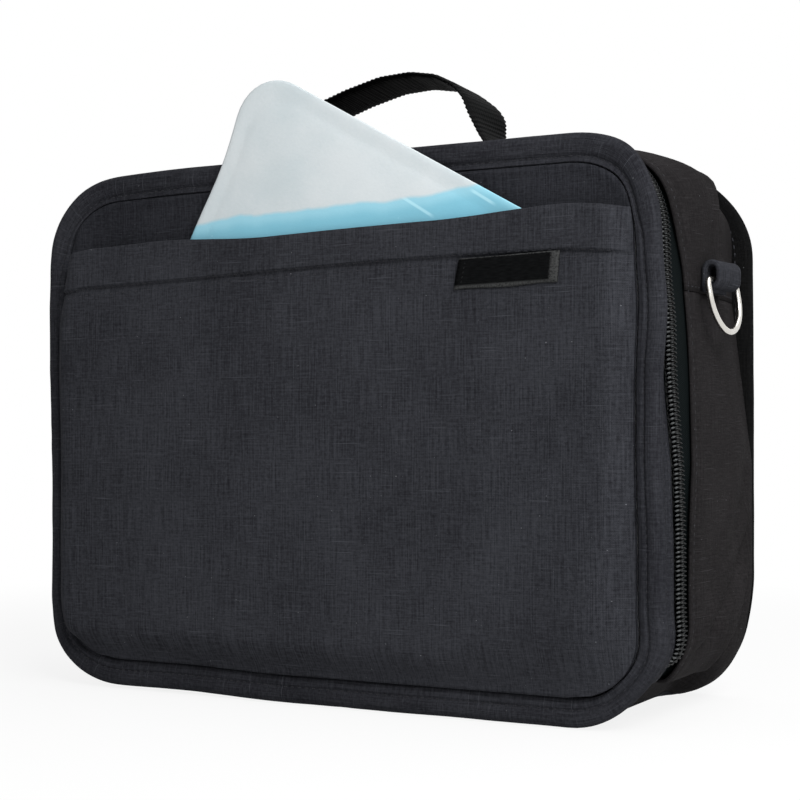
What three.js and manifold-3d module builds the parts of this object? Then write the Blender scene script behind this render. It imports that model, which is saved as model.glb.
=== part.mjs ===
// Soft insulated case for insulin: a clamshell bag whose lid is the front panel. A zip runs
// over the top and down both sides, and the lid folds down on its bottom seam. A gel pack
// stands in the open front pocket, a webbing handle is on top and a D-ring hangs on each side.
// Millimetres, +Z up, the front towards -Y, the origin under the middle of the case.

import * as THREE from "three";
import { mergeVertices } from "three/addons/utils/BufferGeometryUtils.js";
import Module from "manifold-3d";

const wasm = await Module();
wasm.setup();

// Case: its outline from the front, and its depth over the two padded rims
const case_width = 280;
const case_height = 216;
const case_depth = 105;
const corner_radius = 40;
const corner_power = 2.3;
const clearance = 0.3;

// Rims: the bound, padded edges round the front and back panels
const rim_width = 11;
const rim_thickness = 5.2;
const rim_roll = 1.6;

// Fabrics and padding
const shell_fabric = 1.5;
const panel_fabric = 1.2;
const foam_thickness = 4;
const lining_thickness = 0.6;
const panel_setback = 1.3;
const back_puff = 5;
const back_edge_setback = 1;

// Gusset: the wall between the rims, drawn in at its upper edges, full at its upper corners
// and slumped at its foot
const root_inset = 10;
const belly_inset_high = 2.6;
const belly_inset_low = -1.5;
const top_belly_inset = 1;
const corner_fullness = 5;
const slump_length = 64;
const seam_drop = 57;
const hem_depth = 30.5;

// Zip: two coils on two tapes, with two sliders
const zip_depth = 17.5;
const coil_width = 3.6;
const coil_height = 2.2;
const coil_proud = 0.7;
const tooth_pitch = 5;
const tooth_reach = 1;
const tooth_gap = 0.6;
const tape_thickness = 0.6;
const lid_strip_gap = 0.6;
const tape_seam = 8;
const guard_gap = 7;

const slider_length = 13;
const slider_width = 9;
const slider_plate = 1.6;
const slider_nose = 3;
const slider_flange = 1.4;
const slider_park = 9;
const bail_span = 9.6;
const bail_width = 2;
const bail_post = 1.6;
const bail_height = 3.4;
const bail_bar = 1;
const pull_length = 24;
const pull_width = 8;
const pull_thickness = 1.2;
const pull_eye_length = 6.5;
const pull_eye_width = 4.8;
const pull_eye_bar = 1.2;
const pull_tip_width = 5.6;

// Front pocket and the bare patch sewn on it
const pocket_height = 187;
const pocket_puff = 7.5;
const pocket_rise_width = 16;
const label_width = 41;
const label_height = 12;
const label_thickness = 0.8;
const label_middle_x = 79;
const label_middle_z = 166.5;

// Gel pack: a flat pouch with welded edges, standing on one corner in the pocket
const gel_long = 172;
const gel_short = 165;
const gel_corner = 12;
const gel_thickness = 5.2;
const gel_edge_thickness = 1.2;
const gel_weld = 7;
const gel_lean_degrees = 29.4;
const gel_tip_x = -33;
const gel_tip_z = 254.3;
const gel_skew_share = 0.103;

// Handle: an arch of webbing between two feet sewn flat on the top
const webbing_width = 25;
const webbing_thickness = 2;
const handle_reach_left = 52;
const handle_reach_right = 50;
const handle_apex_height = 255;
const handle_foot_length = 26;

// D-rings in their fabric tabs
const ring_inside = 25;
const ring_wire = 2.4;
const ring_drop = 19.5;
const ring_corner = 3;
const ring_tilt_degrees = 9.5;
const tab_length = 20;
const tab_thickness = 8;
const tab_height = 11;
const tab_wall = 2;
const tab_tail_thickness = 2.4;
const tab_tail = 6.85;
const tab_yaw_degrees = 5;

// Inside: the elastic loops on the back wall and the mesh pocket in the lid
const loop_count = 5;
const loop_pitch = 34;
const loop_bulge = 3.4;
const loop_width = 22;
const elastic_height = 32;
const elastic_thickness = 0.8;
const elastic_middle_z = 118;
const mesh_width = 190;
const mesh_height = 96;
const mesh_thickness = 0.6;
const mesh_bottom_z = 30;
const mesh_binding_height = 9;
const mesh_binding_thickness = 1;

// Facets
const corner_steps = 6;
const top_steps = 6;
const bottom_steps = 2;
const slump_steps = 3;
const wire_sides = 6;
const turn_steps = 4;

const half_width = case_width / 2;
const half_depth = case_depth / 2;
const straight_x = half_width - corner_radius;
const straight_low_z = corner_radius;
const straight_high_z = case_height - corner_radius;
const seam_height = case_height - seam_drop;
const slump_height = seam_height - slump_length;
const seam_low = seam_height - clearance / 2;
const seam_high = seam_height + clearance / 2;
const tab_middle_z = seam_high + tab_tail;
const degree = Math.PI / 180;

// Depths, from the front rim's face to the back rim's
const rim_back_y = half_depth - rim_thickness;
const gusset_end_y = rim_back_y - clearance;
const hem_y = -half_depth + hem_depth;
const zip_y = -half_depth + zip_depth;
const strip_end_y = zip_y - coil_width - lid_strip_gap;

// Offsets inwards from the gusset's outer face
const tape_offset = shell_fabric + clearance;
const coil_offset = -coil_proud;
const foam_offset = tape_offset + tape_thickness + clearance;
const lining_offset = foam_offset + foam_thickness + clearance;

const finish = (color, roughness, metalness = 0) =>
  new THREE.MeshStandardMaterial({ color, roughness, metalness });
const shell_cloth = finish(0x2c2e34, 0.85);
const binding_cloth = finish(0x24262b, 0.85);
const foam = finish(0xd9d9d4, 0.95);
const foil = finish(0xb9bcc0, 0.35, 0.6);
const tape_cloth = finish(0x16191b, 0.9);
const coil_plastic = finish(0x1c1f20, 0.45);
const webbing = finish(0x15171a, 0.9);
const steel = finish(0xc4c1b8, 0.25, 1);
const dark_metal = finish(0x2a2b2d, 0.4, 0.8);
const frosted_film = finish(0xc3d6da, 0.35);
const patch_cloth = finish(0x0e0e10, 0.6);
const mesh_cloth = finish(0x1f2124, 0.9);

const model = new THREE.Group();
const smooth = (t) => THREE.MathUtils.smoothstep(t, 0, 1);
const clamp = (t) => THREE.MathUtils.clamp(t, 0, 1);
const mix = THREE.MathUtils.lerp;

function piece(name, geometry, material, parent = model) {
  const mesh = new THREE.Mesh(geometry, material);
  mesh.name = name;
  parent.add(mesh);
  return mesh;
}

// Geometry from corner points and triangles, turned face out whichever way it was wound
function closedGeometry(points, triangles) {
  let volume = 0;
  for (const [a, b, c] of triangles) {
    volume += points[a].dot(new THREE.Vector3().crossVectors(points[b], points[c]));
  }
  const wound = volume < 0 ? triangles.map(([a, b, c]) => [a, c, b]) : triangles;
  const geometry = new THREE.BufferGeometry();
  geometry.setAttribute("position", new THREE.Float32BufferAttribute(points.flatMap((p) => p.toArray()), 3));
  geometry.setIndex(wound.flat());
  return geometry;
}

// A sheet with thickness: two grids of points, walled along their borders
function thickSheet(outer, inner, loop = false) {
  const rows = outer.length;
  const columns = outer[0].length;
  const points = [...outer.flat(), ...inner.flat()];
  const at = (side, i, j) => side * rows * columns + (i % rows) * columns + j;
  const triangles = [];
  const quad = (a, b, c, d) => triangles.push([a, b, c], [a, c, d]);
  const last = loop ? rows : rows - 1;
  for (let i = 0; i < last; i++) {
    for (let j = 0; j < columns - 1; j++) {
      quad(at(0, i, j), at(0, i + 1, j), at(0, i + 1, j + 1), at(0, i, j + 1));
      quad(at(1, i, j), at(1, i, j + 1), at(1, i + 1, j + 1), at(1, i + 1, j));
    }
    quad(at(0, i, 0), at(1, i, 0), at(1, i + 1, 0), at(0, i + 1, 0));
    const end = columns - 1;
    quad(at(0, i, end), at(0, i + 1, end), at(1, i + 1, end), at(1, i, end));
  }
  if (!loop) {
    for (let j = 0; j < columns - 1; j++) {
      quad(at(0, 0, j), at(0, 0, j + 1), at(1, 0, j + 1), at(1, 0, j));
      quad(at(0, last, j), at(1, last, j), at(1, last, j + 1), at(0, last, j + 1));
    }
  }
  return closedGeometry(points, triangles);
}

// A closed loop of like sections, such as a rim or a ring
function loopOfSections(rings) {
  const sides = rings[0].length;
  const triangles = [];
  rings.forEach((ring, i) => {
    const next = ((i + 1) % rings.length) * sides;
    for (let j = 0; j < sides; j++) {
      const k = (j + 1) % sides;
      triangles.push([i * sides + j, next + j, next + k], [i * sides + j, next + k, i * sides + k]);
    }
  });
  return closedGeometry(rings.flat(), triangles);
}

// A flat plate in the XZ plane between two depths, from an outline of [x, z] points
function flatPlate(outline, front_y, back_y) {
  const shape = new THREE.Shape(outline.map(([x, z]) => new THREE.Vector2(x, z)));
  const geometry = new THREE.ExtrudeGeometry(shape, { depth: back_y - front_y, bevelEnabled: false });
  return geometry.rotateX(Math.PI / 2).translate(0, back_y, 0);
}

// A plate whose faces are domed: each face's depth follows the share of the way to the edge
function domedPlate(outline, middle, shares, outerDepth, innerDepth) {
  const face = (depth) =>
    outline.map(([x, z]) =>
      shares.map((s) => new THREE.Vector3(mix(middle[0], x, s), depth(s), mix(middle[1], z, s))),
    );
  const sheet = thickSheet(face(outerDepth), face(innerDepth), true);
  const hub = outline.map(([x, z]) => [mix(middle[0], x, shares[0]), mix(middle[1], z, shares[0])]);
  return join(sheet, flatPlate(hub, innerDepth(shares[0]), outerDepth(shares[0])));
}

function solidOf(geometry) {
  const bare = geometry.index ? geometry.toNonIndexed() : geometry.clone();
  bare.deleteAttribute("normal");
  bare.deleteAttribute("uv");
  const merged = mergeVertices(bare, 1e-4);
  const vertProperties = merged.attributes.position.array;
  return new wasm.Manifold(new wasm.Mesh({ numProp: 3, vertProperties, triVerts: new Uint32Array(merged.index.array) }));
}

function geometryOf(solid) {
  const mesh = solid.getMesh();
  const geometry = new THREE.BufferGeometry();
  geometry.setAttribute("position", new THREE.Float32BufferAttribute(mesh.vertProperties, 3));
  geometry.setIndex(Array.from(mesh.triVerts));
  return geometry;
}

const join = (...geometries) => geometryOf(geometries.map(solidOf).reduce((a, b) => a.add(b)));

function block(x0, x1, y0, y1, z0, z1) {
  const geometry = new THREE.BoxGeometry(x1 - x0, y1 - y0, z1 - z0);
  return geometry.translate((x0 + x1) / 2, (y0 + y1) / 2, (z0 + z1) / 2);
}

// Stations of the case's outline. Each is an anchor on the inner rectangle and the direction
// from it to the edge, so that any inset from the edge moves along that direction.
const station = (ax, az, ux, uz) => ({ ax, az, ux, uz });

function straightRun(from, to, ux, uz, steps) {
  const run = [];
  for (let i = 0; i <= steps; i++) {
    run.push(station(mix(from[0], to[0], i / steps), mix(from[1], to[1], i / steps), ux, uz));
  }
  return run;
}

function cornerRun(side, level, from_share, to_share, steps) {
  const run = [];
  for (let i = 0; i <= steps; i++) {
    const angle = (mix(from_share, to_share, i / steps) * Math.PI) / 2;
    const across = Math.cos(angle) ** (2 / corner_power);
    const up = Math.sin(angle) ** (2 / corner_power);
    const az = level > 0 ? straight_high_z : straight_low_z;
    run.push(station(side * straight_x, az, side * across, level * up));
  }
  return run;
}

// Up or down a side, with stations from the height where the slump starts to the seam
const slump_heights = Array.from({ length: slump_steps + 1 }, (_, i) =>
  mix(slump_height, seam_height, i / slump_steps),
);
function sideRun(side, from_z, to_z) {
  const low = Math.min(from_z, to_z);
  const high = Math.max(from_z, to_z);
  const heights = [low, ...slump_heights.filter((z) => z > low + clearance && z < high - clearance), high];
  const run = heights.map((z) => station(side * straight_x, z, side, 0));
  return from_z > to_z ? run.reverse() : run;
}

const topRun = (from_x, to_x, steps) => straightRun([from_x, straight_high_z], [to_x, straight_high_z], 0, 1, steps);
const bottomRun = (from_x, to_x, steps) => straightRun([from_x, straight_low_z], [to_x, straight_low_z], 0, -1, steps);

// Runs in order, with the station that two neighbours share kept once
function route(...runs) {
  const stations = [...runs[0]];
  for (const run of runs.slice(1)) {
    const last = stations[stations.length - 1];
    const same = Math.hypot(run[0].ax - last.ax, run[0].az - last.az, run[0].ux - last.ux, run[0].uz - last.uz) < 1e-9;
    stations.push(...run.slice(same ? 1 : 0));
  }
  return stations;
}

// Round the whole outline, from the middle of the bottom up the right side
const whole_outline = route(
  bottomRun(0, straight_x, bottom_steps),
  cornerRun(1, -1, 1, 0, corner_steps),
  sideRun(1, straight_low_z, straight_high_z),
  cornerRun(1, 1, 0, 1, corner_steps),
  topRun(straight_x, -straight_x, top_steps),
  cornerRun(-1, 1, 1, 0, corner_steps),
  sideRun(-1, straight_high_z, straight_low_z),
  cornerRun(-1, -1, 0, 1, corner_steps),
  bottomRun(-straight_x, 0, bottom_steps),
).slice(0, -1);

const edgePoint = (s, inset) => [s.ax + (corner_radius - inset) * s.ux, s.az + (corner_radius - inset) * s.uz];
const outlineAt = (inset) => whole_outline.map((s) => edgePoint(s, inset));

// The gusset bellies between its roots in straight stretches from one profile depth to the next
const profile_depths = [-1, -0.47, -0.12, 0.22, 0.62, 1].map((share) => share * gusset_end_y);
function rootShare(y) {
  const share = (depth) => (depth / gusset_end_y) ** 2;
  const last = profile_depths.length - 2;
  const i = THREE.MathUtils.clamp(profile_depths.findIndex((depth) => depth > y) - 1, 0, last);
  const [near, far] = [profile_depths[i], profile_depths[i + 1]];
  return mix(share(near), share(far), clamp((y - near) / (far - near)));
}

// The depths across a band: its two edges, and the profile's depths between them
function acrossBand(from_y, to_y) {
  const between = profile_depths.filter((y) => y > from_y + clearance && y < to_y - clearance);
  return [from_y, ...between, to_y];
}

// How far the gusset's outer face lies inside the case's outline at a station and a depth
function gussetInset(s, y) {
  const [, height] = edgePoint(s, 0);
  const rise = clamp((height - slump_height) / (seam_height - slump_height));
  const side = s.ux ** 2 / (s.ux ** 2 + s.uz ** 2);
  const upward = s.uz > 0 ? 1 - side : 0;
  const root = side * root_inset * rise + upward * root_inset;
  const belly = side * mix(belly_inset_low, belly_inset_high, rise) + upward * top_belly_inset;
  const full = 4 * side * upward * corner_fullness;
  return mix(belly, root, rootShare(y)) - full;
}

function gussetPoint(s, y, offset) {
  const [x, z] = edgePoint(s, gussetInset(s, y) + offset);
  return new THREE.Vector3(x, y, z);
}

// A band of the gusset's layers: stations along it, depths across it, and its two offsets
function band(stations, depths, outer_offset, thickness, loop = false) {
  const face = (offset) => stations.map((s) => depths.map((y) => gussetPoint(s, y, offset)));
  return thickSheet(face(outer_offset), face(outer_offset + thickness), loop);
}

// Rims
function rimGeometry(outer_y, inward) {
  const section = [
    [0, rim_roll],
    [rim_roll, 0],
    [rim_width - rim_roll, 0],
    [rim_width, rim_roll],
    [rim_width, rim_thickness - rim_roll],
    [rim_width - rim_roll, rim_thickness],
    [rim_roll, rim_thickness],
    [0, rim_thickness - rim_roll],
  ];
  return loopOfSections(
    whole_outline.map((s) =>
      section.map(([inset, depth]) => {
        const [x, z] = edgePoint(s, inset);
        return new THREE.Vector3(x, outer_y + inward * depth, z);
      }),
    ),
  );
}

piece("front_rim", rimGeometry(-half_depth, 1), binding_cloth);
piece("back_rim", rimGeometry(half_depth, -1), binding_cloth);

// Panels inside the rims
const panel_outline = outlineAt(rim_width + clearance);
const case_middle = [0, case_height / 2];
const dome_shares = [0.3, 0.62, 0.86, 1];
const dome_power_share = 4;
const front_panel_y = -half_depth + panel_setback;
const lid_foam_y = front_panel_y + panel_fabric + clearance;
const lid_lining_y = lid_foam_y + foam_thickness + clearance;
const lid_inside_y = lid_lining_y + lining_thickness;

piece("front_panel", flatPlate(panel_outline, front_panel_y, front_panel_y + panel_fabric), shell_cloth);
const padding_outline = outlineAt(root_inset + foam_offset);
piece("lid_foam", flatPlate(padding_outline, lid_foam_y, lid_foam_y + foam_thickness), foam);
piece("lid_lining", flatPlate(padding_outline, lid_lining_y, lid_inside_y), foil);

const dome = (edge_y) => (s) => edge_y + back_puff * (1 - s ** dome_power_share);
const back_panel_y = half_depth - back_edge_setback;
const back_foam_outer_y = back_panel_y - panel_fabric - clearance;
const back_foam_inner_y = gusset_end_y;
const back_panel = domedPlate(
  panel_outline,
  case_middle,
  dome_shares,
  dome(back_panel_y),
  dome(back_panel_y - panel_fabric),
);
piece("back_panel", back_panel, shell_cloth);
const back_foam = domedPlate(panel_outline, case_middle, dome_shares, dome(back_foam_outer_y), () => back_foam_inner_y);
piece("back_foam", back_foam, foam);

// Gusset: an upper piece over the top, a side piece up each side and the bottom, which turns
// up a little way into both corners to where the zip ends
const gusset_depths = acrossBand(hem_y, gusset_end_y);
const zip_end_share = (corner_steps - 1) / corner_steps;
piece(
  "gusset_top",
  band(
    route(
      sideRun(1, seam_high, straight_high_z),
      cornerRun(1, 1, 0, 1, corner_steps),
      topRun(straight_x, -straight_x, top_steps),
      cornerRun(-1, 1, 1, 0, corner_steps),
      sideRun(-1, straight_high_z, seam_high),
    ),
    gusset_depths,
    0,
    shell_fabric,
  ),
  shell_cloth,
);
for (const [name, side] of [
  ["gusset_side_right", 1],
  ["gusset_side_left", -1],
]) {
  const stations = route(
    cornerRun(side, -1, zip_end_share, 0, corner_steps - 1),
    sideRun(side, straight_low_z, seam_low),
  );
  piece(name, band(stations, gusset_depths, 0, shell_fabric), shell_cloth);
}

// The lid turns about the inner bottom edge of the front rim
const hinge_y = -rim_back_y + clearance;
const hinge_z = shell_fabric;
const bottom_front_y = hinge_y + hinge_z + clearance;
const seamStation = (side) => {
  const [foot, end] = cornerRun(side, -1, 1, zip_end_share, 1);
  const [foot_x, foot_z] = edgePoint(foot, 0);
  const [end_x, end_z] = edgePoint(end, 0);
  const share = 1 - clearance / Math.hypot(end_x - foot_x, end_z - foot_z);
  return station(end.ax, end.az, mix(foot.ux, end.ux, share), mix(foot.uz, end.uz, share));
};
const bottom_stations = [seamStation(-1), ...bottomRun(-straight_x, straight_x, 1), seamStation(1)];
piece("bottom_panel", band(bottom_stations, [bottom_front_y, gusset_end_y], 0, shell_fabric), shell_cloth);

// Padding and foil lining inside the gusset, kept back from the zip
const inner_front_y = zip_y + guard_gap;
const inner_back_y = gusset_end_y - clearance;
const inner_depths = acrossBand(inner_front_y, inner_back_y);
piece("gusset_foam", band(whole_outline, inner_depths, foam_offset, foam_thickness, true), foam);
const lining_back_y = inner_back_y - lining_thickness - clearance;
const lining_depths = acrossBand(inner_front_y, lining_back_y);
piece("gusset_lining", band(whole_outline, lining_depths, lining_offset, lining_thickness, true), foil);
const back_lining_outline = whole_outline.map((s) => {
  const p = gussetPoint(s, inner_back_y, lining_offset);
  return [p.x, p.z];
});
piece("back_lining", flatPlate(back_lining_outline, inner_back_y - lining_thickness, inner_back_y), foil);

// The strip that joins the bottom panel to the lid's bottom seam
const strip_z = shell_fabric + clearance;
const strip_back_y = inner_front_y - clearance;
piece("hinge_strip", block(-straight_x, straight_x, hinge_y, strip_back_y, strip_z, strip_z + panel_fabric), tape_cloth);

// Zip: from one bottom corner over the top to the other
const zip_route = route(
  cornerRun(1, -1, zip_end_share, 0, corner_steps - 1),
  sideRun(1, straight_low_z, straight_high_z),
  cornerRun(1, 1, 0, 1, corner_steps),
  topRun(straight_x, -straight_x, top_steps),
  cornerRun(-1, 1, 1, 0, corner_steps),
  sideRun(-1, straight_high_z, straight_low_z),
  cornerRun(-1, -1, 0, zip_end_share, corner_steps - 1),
);

// Places a given distance apart along the zip: two neighbouring stations and the share between
function evenPlaces(stations, spacing) {
  const lengths = [0];
  for (let i = 1; i < stations.length; i++) {
    const step = gussetPoint(stations[i], zip_y, 0).distanceTo(gussetPoint(stations[i - 1], zip_y, 0));
    lengths.push(lengths[i - 1] + step);
  }
  const total = lengths[lengths.length - 1];
  const count = 2 * Math.round(total / spacing / 2);
  const places = [];
  let k = 0;
  for (let i = 0; i <= count; i++) {
    const goal = (total * i) / count;
    while (k < stations.length - 2 && lengths[k + 1] < goal) k++;
    places.push([stations[k], stations[k + 1], (goal - lengths[k]) / (lengths[k + 1] - lengths[k])]);
  }
  return places;
}

// One coil: a spine along the tape with a toothed edge that meets the other coil's edge
const tooth_places = evenPlaces(zip_route, tooth_pitch / 2);
function coilGeometry(side) {
  const face = (offset) =>
    tooth_places.map(([from, to, share], i) => {
      const edge_y = zip_y + (i % 2 ? tooth_reach : -tooth_reach) + (side * tooth_gap) / 2;
      const spine_y = zip_y + side * coil_width;
      return [spine_y, edge_y].map((y) => gussetPoint(from, y, offset).lerp(gussetPoint(to, y, offset), share));
    });
  return thickSheet(face(coil_offset), face(coil_offset + coil_height));
}
piece("zip_coil_lid", coilGeometry(-1), coil_plastic);
piece("zip_coil_body", coilGeometry(1), coil_plastic);

const strip_front_y = -gusset_end_y;
const tape_half_split = tooth_reach - tooth_gap / 2 + clearance;
piece("lid_strip", band(zip_route, acrossBand(strip_front_y, strip_end_y), 0, shell_fabric), shell_cloth);
piece(
  "zip_tape_lid",
  band(zip_route, acrossBand(strip_front_y, zip_y - tape_half_split), tape_offset, tape_thickness),
  tape_cloth,
);
piece(
  "zip_tape_body",
  band(zip_route, acrossBand(zip_y + tape_half_split, hem_y + tape_seam), tape_offset, tape_thickness),
  tape_cloth,
);

// Sliders: a top plate with its flange and bail over the coils, and a base plate under the tapes
const top_station = station(0, straight_high_z, 0, 1);
const flange_y = coil_width + clearance;
const coil_top_z = gussetPoint(top_station, zip_y + coil_width, coil_offset).z;
const tape_top_z = gussetPoint(top_station, zip_y + flange_y + slider_flange, tape_offset).z;
const tape_under_z = gussetPoint(top_station, zip_y - slider_width / 2, tape_offset + tape_thickness).z;
const slider_z = coil_top_z + clearance;
const slider_base_z = tape_under_z - clearance - slider_plate;

function sliderPlate(bottom_z, thickness) {
  const shape = new THREE.Shape();
  const x = slider_length / 2;
  const y = slider_width / 2;
  shape.moveTo(-x, -y + slider_nose / 2);
  shape.lineTo(-x + slider_nose / 2, -y);
  shape.lineTo(x - slider_nose, -y);
  shape.lineTo(x, -y + slider_nose);
  shape.lineTo(x, y - slider_nose);
  shape.lineTo(x - slider_nose, y);
  shape.lineTo(-x + slider_nose / 2, y);
  shape.lineTo(-x, y - slider_nose / 2);
  const plate = new THREE.ExtrudeGeometry(shape, { depth: thickness, bevelEnabled: false });
  return plate.translate(0, 0, bottom_z);
}

function sliderBody() {
  const plate_top = slider_z + slider_plate;
  const overlap = slider_plate / 2;
  const flange_x = slider_length / 2 - slider_nose;
  const flange = block(
    -flange_x,
    flange_x,
    flange_y,
    flange_y + slider_flange,
    tape_top_z + clearance,
    slider_z + overlap,
  );
  const bail_x = bail_span / 2;
  const bar_z = plate_top + bail_height;
  const posts = [-1, 1].map((end) =>
    block(
      Math.min(end * bail_x, end * (bail_x - bail_post)),
      Math.max(end * bail_x, end * (bail_x - bail_post)),
      -bail_width / 2,
      bail_width / 2,
      plate_top - overlap,
      bar_z,
    ),
  );
  const bar = block(-bail_x, bail_x, -bail_width / 2, bail_width / 2, bar_z - bail_bar, bar_z);
  return join(sliderPlate(slider_z, slider_plate), flange, ...posts, bar);
}

const pull_z = slider_z + slider_plate + clearance + pull_thickness / 2;
function pullTab() {
  const shape = new THREE.Shape();
  const wide = pull_width / 2;
  const tip = pull_tip_width / 2;
  const waist_x = pull_eye_length + pull_eye_bar * 2;
  const end_x = pull_length;
  shape.moveTo(-pull_eye_bar / 2, -wide + pull_eye_bar / 2);
  shape.lineTo(0, -wide);
  shape.lineTo(waist_x, -wide);
  shape.lineTo(end_x - tip, -tip);
  shape.absarc(end_x - tip, 0, tip, -Math.PI / 2, Math.PI / 2, false);
  shape.lineTo(waist_x, wide);
  shape.lineTo(0, wide);
  shape.lineTo(-pull_eye_bar / 2, wide - pull_eye_bar / 2);
  const eye = new THREE.Path();
  const eye_x = pull_eye_bar / 2;
  eye.moveTo(eye_x, -pull_eye_width / 2);
  eye.lineTo(eye_x, pull_eye_width / 2);
  eye.lineTo(eye_x + pull_eye_length, pull_eye_width / 2);
  eye.lineTo(eye_x + pull_eye_length, -pull_eye_width / 2);
  shape.holes.push(eye);
  const options = { depth: pull_thickness, bevelEnabled: false, curveSegments: turn_steps * 2 };
  return new THREE.ExtrudeGeometry(shape, options).translate(0, 0, pull_z - pull_thickness / 2);
}

for (const [name, side] of [
  ["right", 1],
  ["left", -1],
]) {
  const slider = new THREE.Group();
  slider.position.set(side * slider_park, zip_y, 0);
  slider.scale.x = side;
  model.add(slider);
  piece("slider_" + name, sliderBody(), dark_metal, slider);
  piece("slider_base_" + name, sliderPlate(slider_base_z, slider_plate), dark_metal, slider);
  piece("pull_" + name, pullTab(), dark_metal, slider);
}

// Front pocket: a slack panel caught under the rim on three sides and open at the top
const pocket_edge_y = -half_depth - clearance + panel_fabric;
const pocket_bottom_z = rim_width + clearance;
const pocket_row_shares = [0, 0.025, 0.065, 0.12, 0.2, 0.55, 1];
const pocket_column_shares = [-1, -0.965, -0.92, -0.86, -0.4, 0, 0.4, 0.86, 0.92, 0.965, 1];

// Half the width inside an inset outline at a height in its lower half or straight sides
function halfWidthAt(z, inset) {
  const radius = corner_radius - inset;
  const above = z > straight_high_z ? z - straight_high_z : 0;
  const below = z < straight_low_z ? straight_low_z - z : 0;
  const drop = Math.min((above + below) / radius, 1);
  return straight_x + radius * (1 - drop ** corner_power) ** (1 / corner_power);
}

function pocketFace(thickness) {
  return pocket_row_shares.map((row) => {
    const z = mix(pocket_bottom_z, pocket_height, row);
    const half = halfWidthAt(z, rim_width + clearance);
    return pocket_column_shares.map((column) => {
      const x = column * half;
      const from_edge = Math.min(1, (half - Math.abs(x)) / pocket_rise_width);
      const from_foot = Math.min(1, (z - pocket_bottom_z) / pocket_rise_width);
      const puff = pocket_puff * smooth(from_edge) * smooth(from_foot);
      return new THREE.Vector3(x, pocket_edge_y - puff + thickness, z);
    });
  });
}
piece("pocket_panel", thickSheet(pocketFace(-panel_fabric), pocketFace(0)), shell_cloth);

const pocket_face_y = pocket_edge_y - pocket_puff - panel_fabric;
const label_back_y = pocket_face_y - clearance;
piece(
  "label_patch",
  block(
    label_middle_x - label_width / 2,
    label_middle_x + label_width / 2,
    label_back_y - label_thickness,
    label_back_y,
    label_middle_z - label_height / 2,
    label_middle_z + label_height / 2,
  ),
  patch_cloth,
);

// Gel pack: domed pouch inside a flat weld, turned so that one corner points up
function gelPack() {
  const long = gel_long;
  const short = gel_short;
  const shape = new THREE.Shape();
  const r = gel_corner;
  shape.moveTo(r, 0);
  shape.lineTo(long - r, 0);
  shape.absarc(long - r, -r, r, Math.PI / 2, 0, true);
  shape.lineTo(long, -short + r);
  shape.absarc(long - r, -short + r, r, 0, -Math.PI / 2, true);
  shape.lineTo(r, -short);
  shape.absarc(r, -short + r, r, -Math.PI / 2, -Math.PI, true);
  shape.lineTo(0, -r);
  shape.absarc(r, -r, r, Math.PI, Math.PI / 2, true);
  const outline = shape.getPoints(turn_steps).map((p) => [p.x - gel_skew_share * p.y, p.y]);
  const clean = outline.filter(([x, y], i) => {
    const [px, py] = outline[(i + 1) % outline.length];
    return Math.hypot(x - px, y - py) > clearance;
  });
  const weld_share = 1 - (2 * gel_weld) / short;
  const swell = (gel_thickness - gel_edge_thickness) / 2;
  const half_edge = gel_edge_thickness / 2;
  const shares = [0.35, 0.72, weld_share, 1];
  const bulge = (s) => half_edge + (s < weld_share ? swell * (1 - (s / weld_share) ** dome_power_share) : 0);
  const middle = [(long + gel_skew_share * short) / 2, -short / 2];
  return domedPlate(clean, middle, shares, bulge, (s) => -bulge(s));
}
const gel = piece("gel_pack", gelPack(), frosted_film);
gel.rotation.y = gel_lean_degrees * degree;
gel.position.set(gel_tip_x, pocket_edge_y - pocket_puff + clearance + gel_thickness / 2, gel_tip_z);

// Handle: an arch of webbing. Each leg ends in a round tongue about the handle's axis, which
// stands half the webbing's width above the top, so that the arch can lie over either way.
const top_face_z = gussetPoint(top_station, 0, 0).z;
const tongue_radius = webbing_width / 2;
const handle_axis_z = top_face_z + clearance + tongue_radius;
const arch_rise = handle_apex_height - webbing_thickness / 2 - handle_axis_z;

function handlePath() {
  const share_points = [
    [-1, 0, -0.975],
    [-0.96, 0, 0],
    [-0.86, 0.25, 0],
    [-0.62, 0.63, 0],
    [-0.3, 0.84, 0],
    [0.14, 0.98, 0],
    [0.3, 1, 0],
    [0.62, 0.9, 0],
    [0.78, 0.63, 0],
    [0.87, 0.25, 0],
    [0.96, 0, 0],
    [1, 0, -0.975],
  ];
  const points = share_points.map(([across, rise, tongue]) => {
    const reach = across < 0 ? handle_reach_left : handle_reach_right;
    return new THREE.Vector3(across * reach, 0, handle_axis_z + rise * arch_rise + tongue * tongue_radius);
  });
  return new THREE.CatmullRomCurve3(points, false, "centripetal");
}

function handleGeometry() {
  const path = handlePath();
  const steps = 30;
  const faces = [[], []];
  for (let i = 0; i <= steps; i++) {
    const p = path.getPointAt(i / steps);
    const tangent = path.getTangentAt(i / steps);
    const normal = new THREE.Vector3(-tangent.z, 0, tangent.x);
    const below = Math.max(0, handle_axis_z - p.z);
    const round = Math.sqrt(Math.max(1 - (below / tongue_radius) ** 2, 0));
    const half = Math.max(tongue_radius * round, webbing_thickness);
    [0.5, -0.5].forEach((share, side) => {
      const q = p.clone().addScaledVector(normal, share * webbing_thickness);
      faces[side].push([-half, half].map((y) => new THREE.Vector3(q.x, y, q.z)));
    });
  }
  return thickSheet(faces[0], faces[1]);
}
piece("handle", handleGeometry(), webbing);

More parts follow.
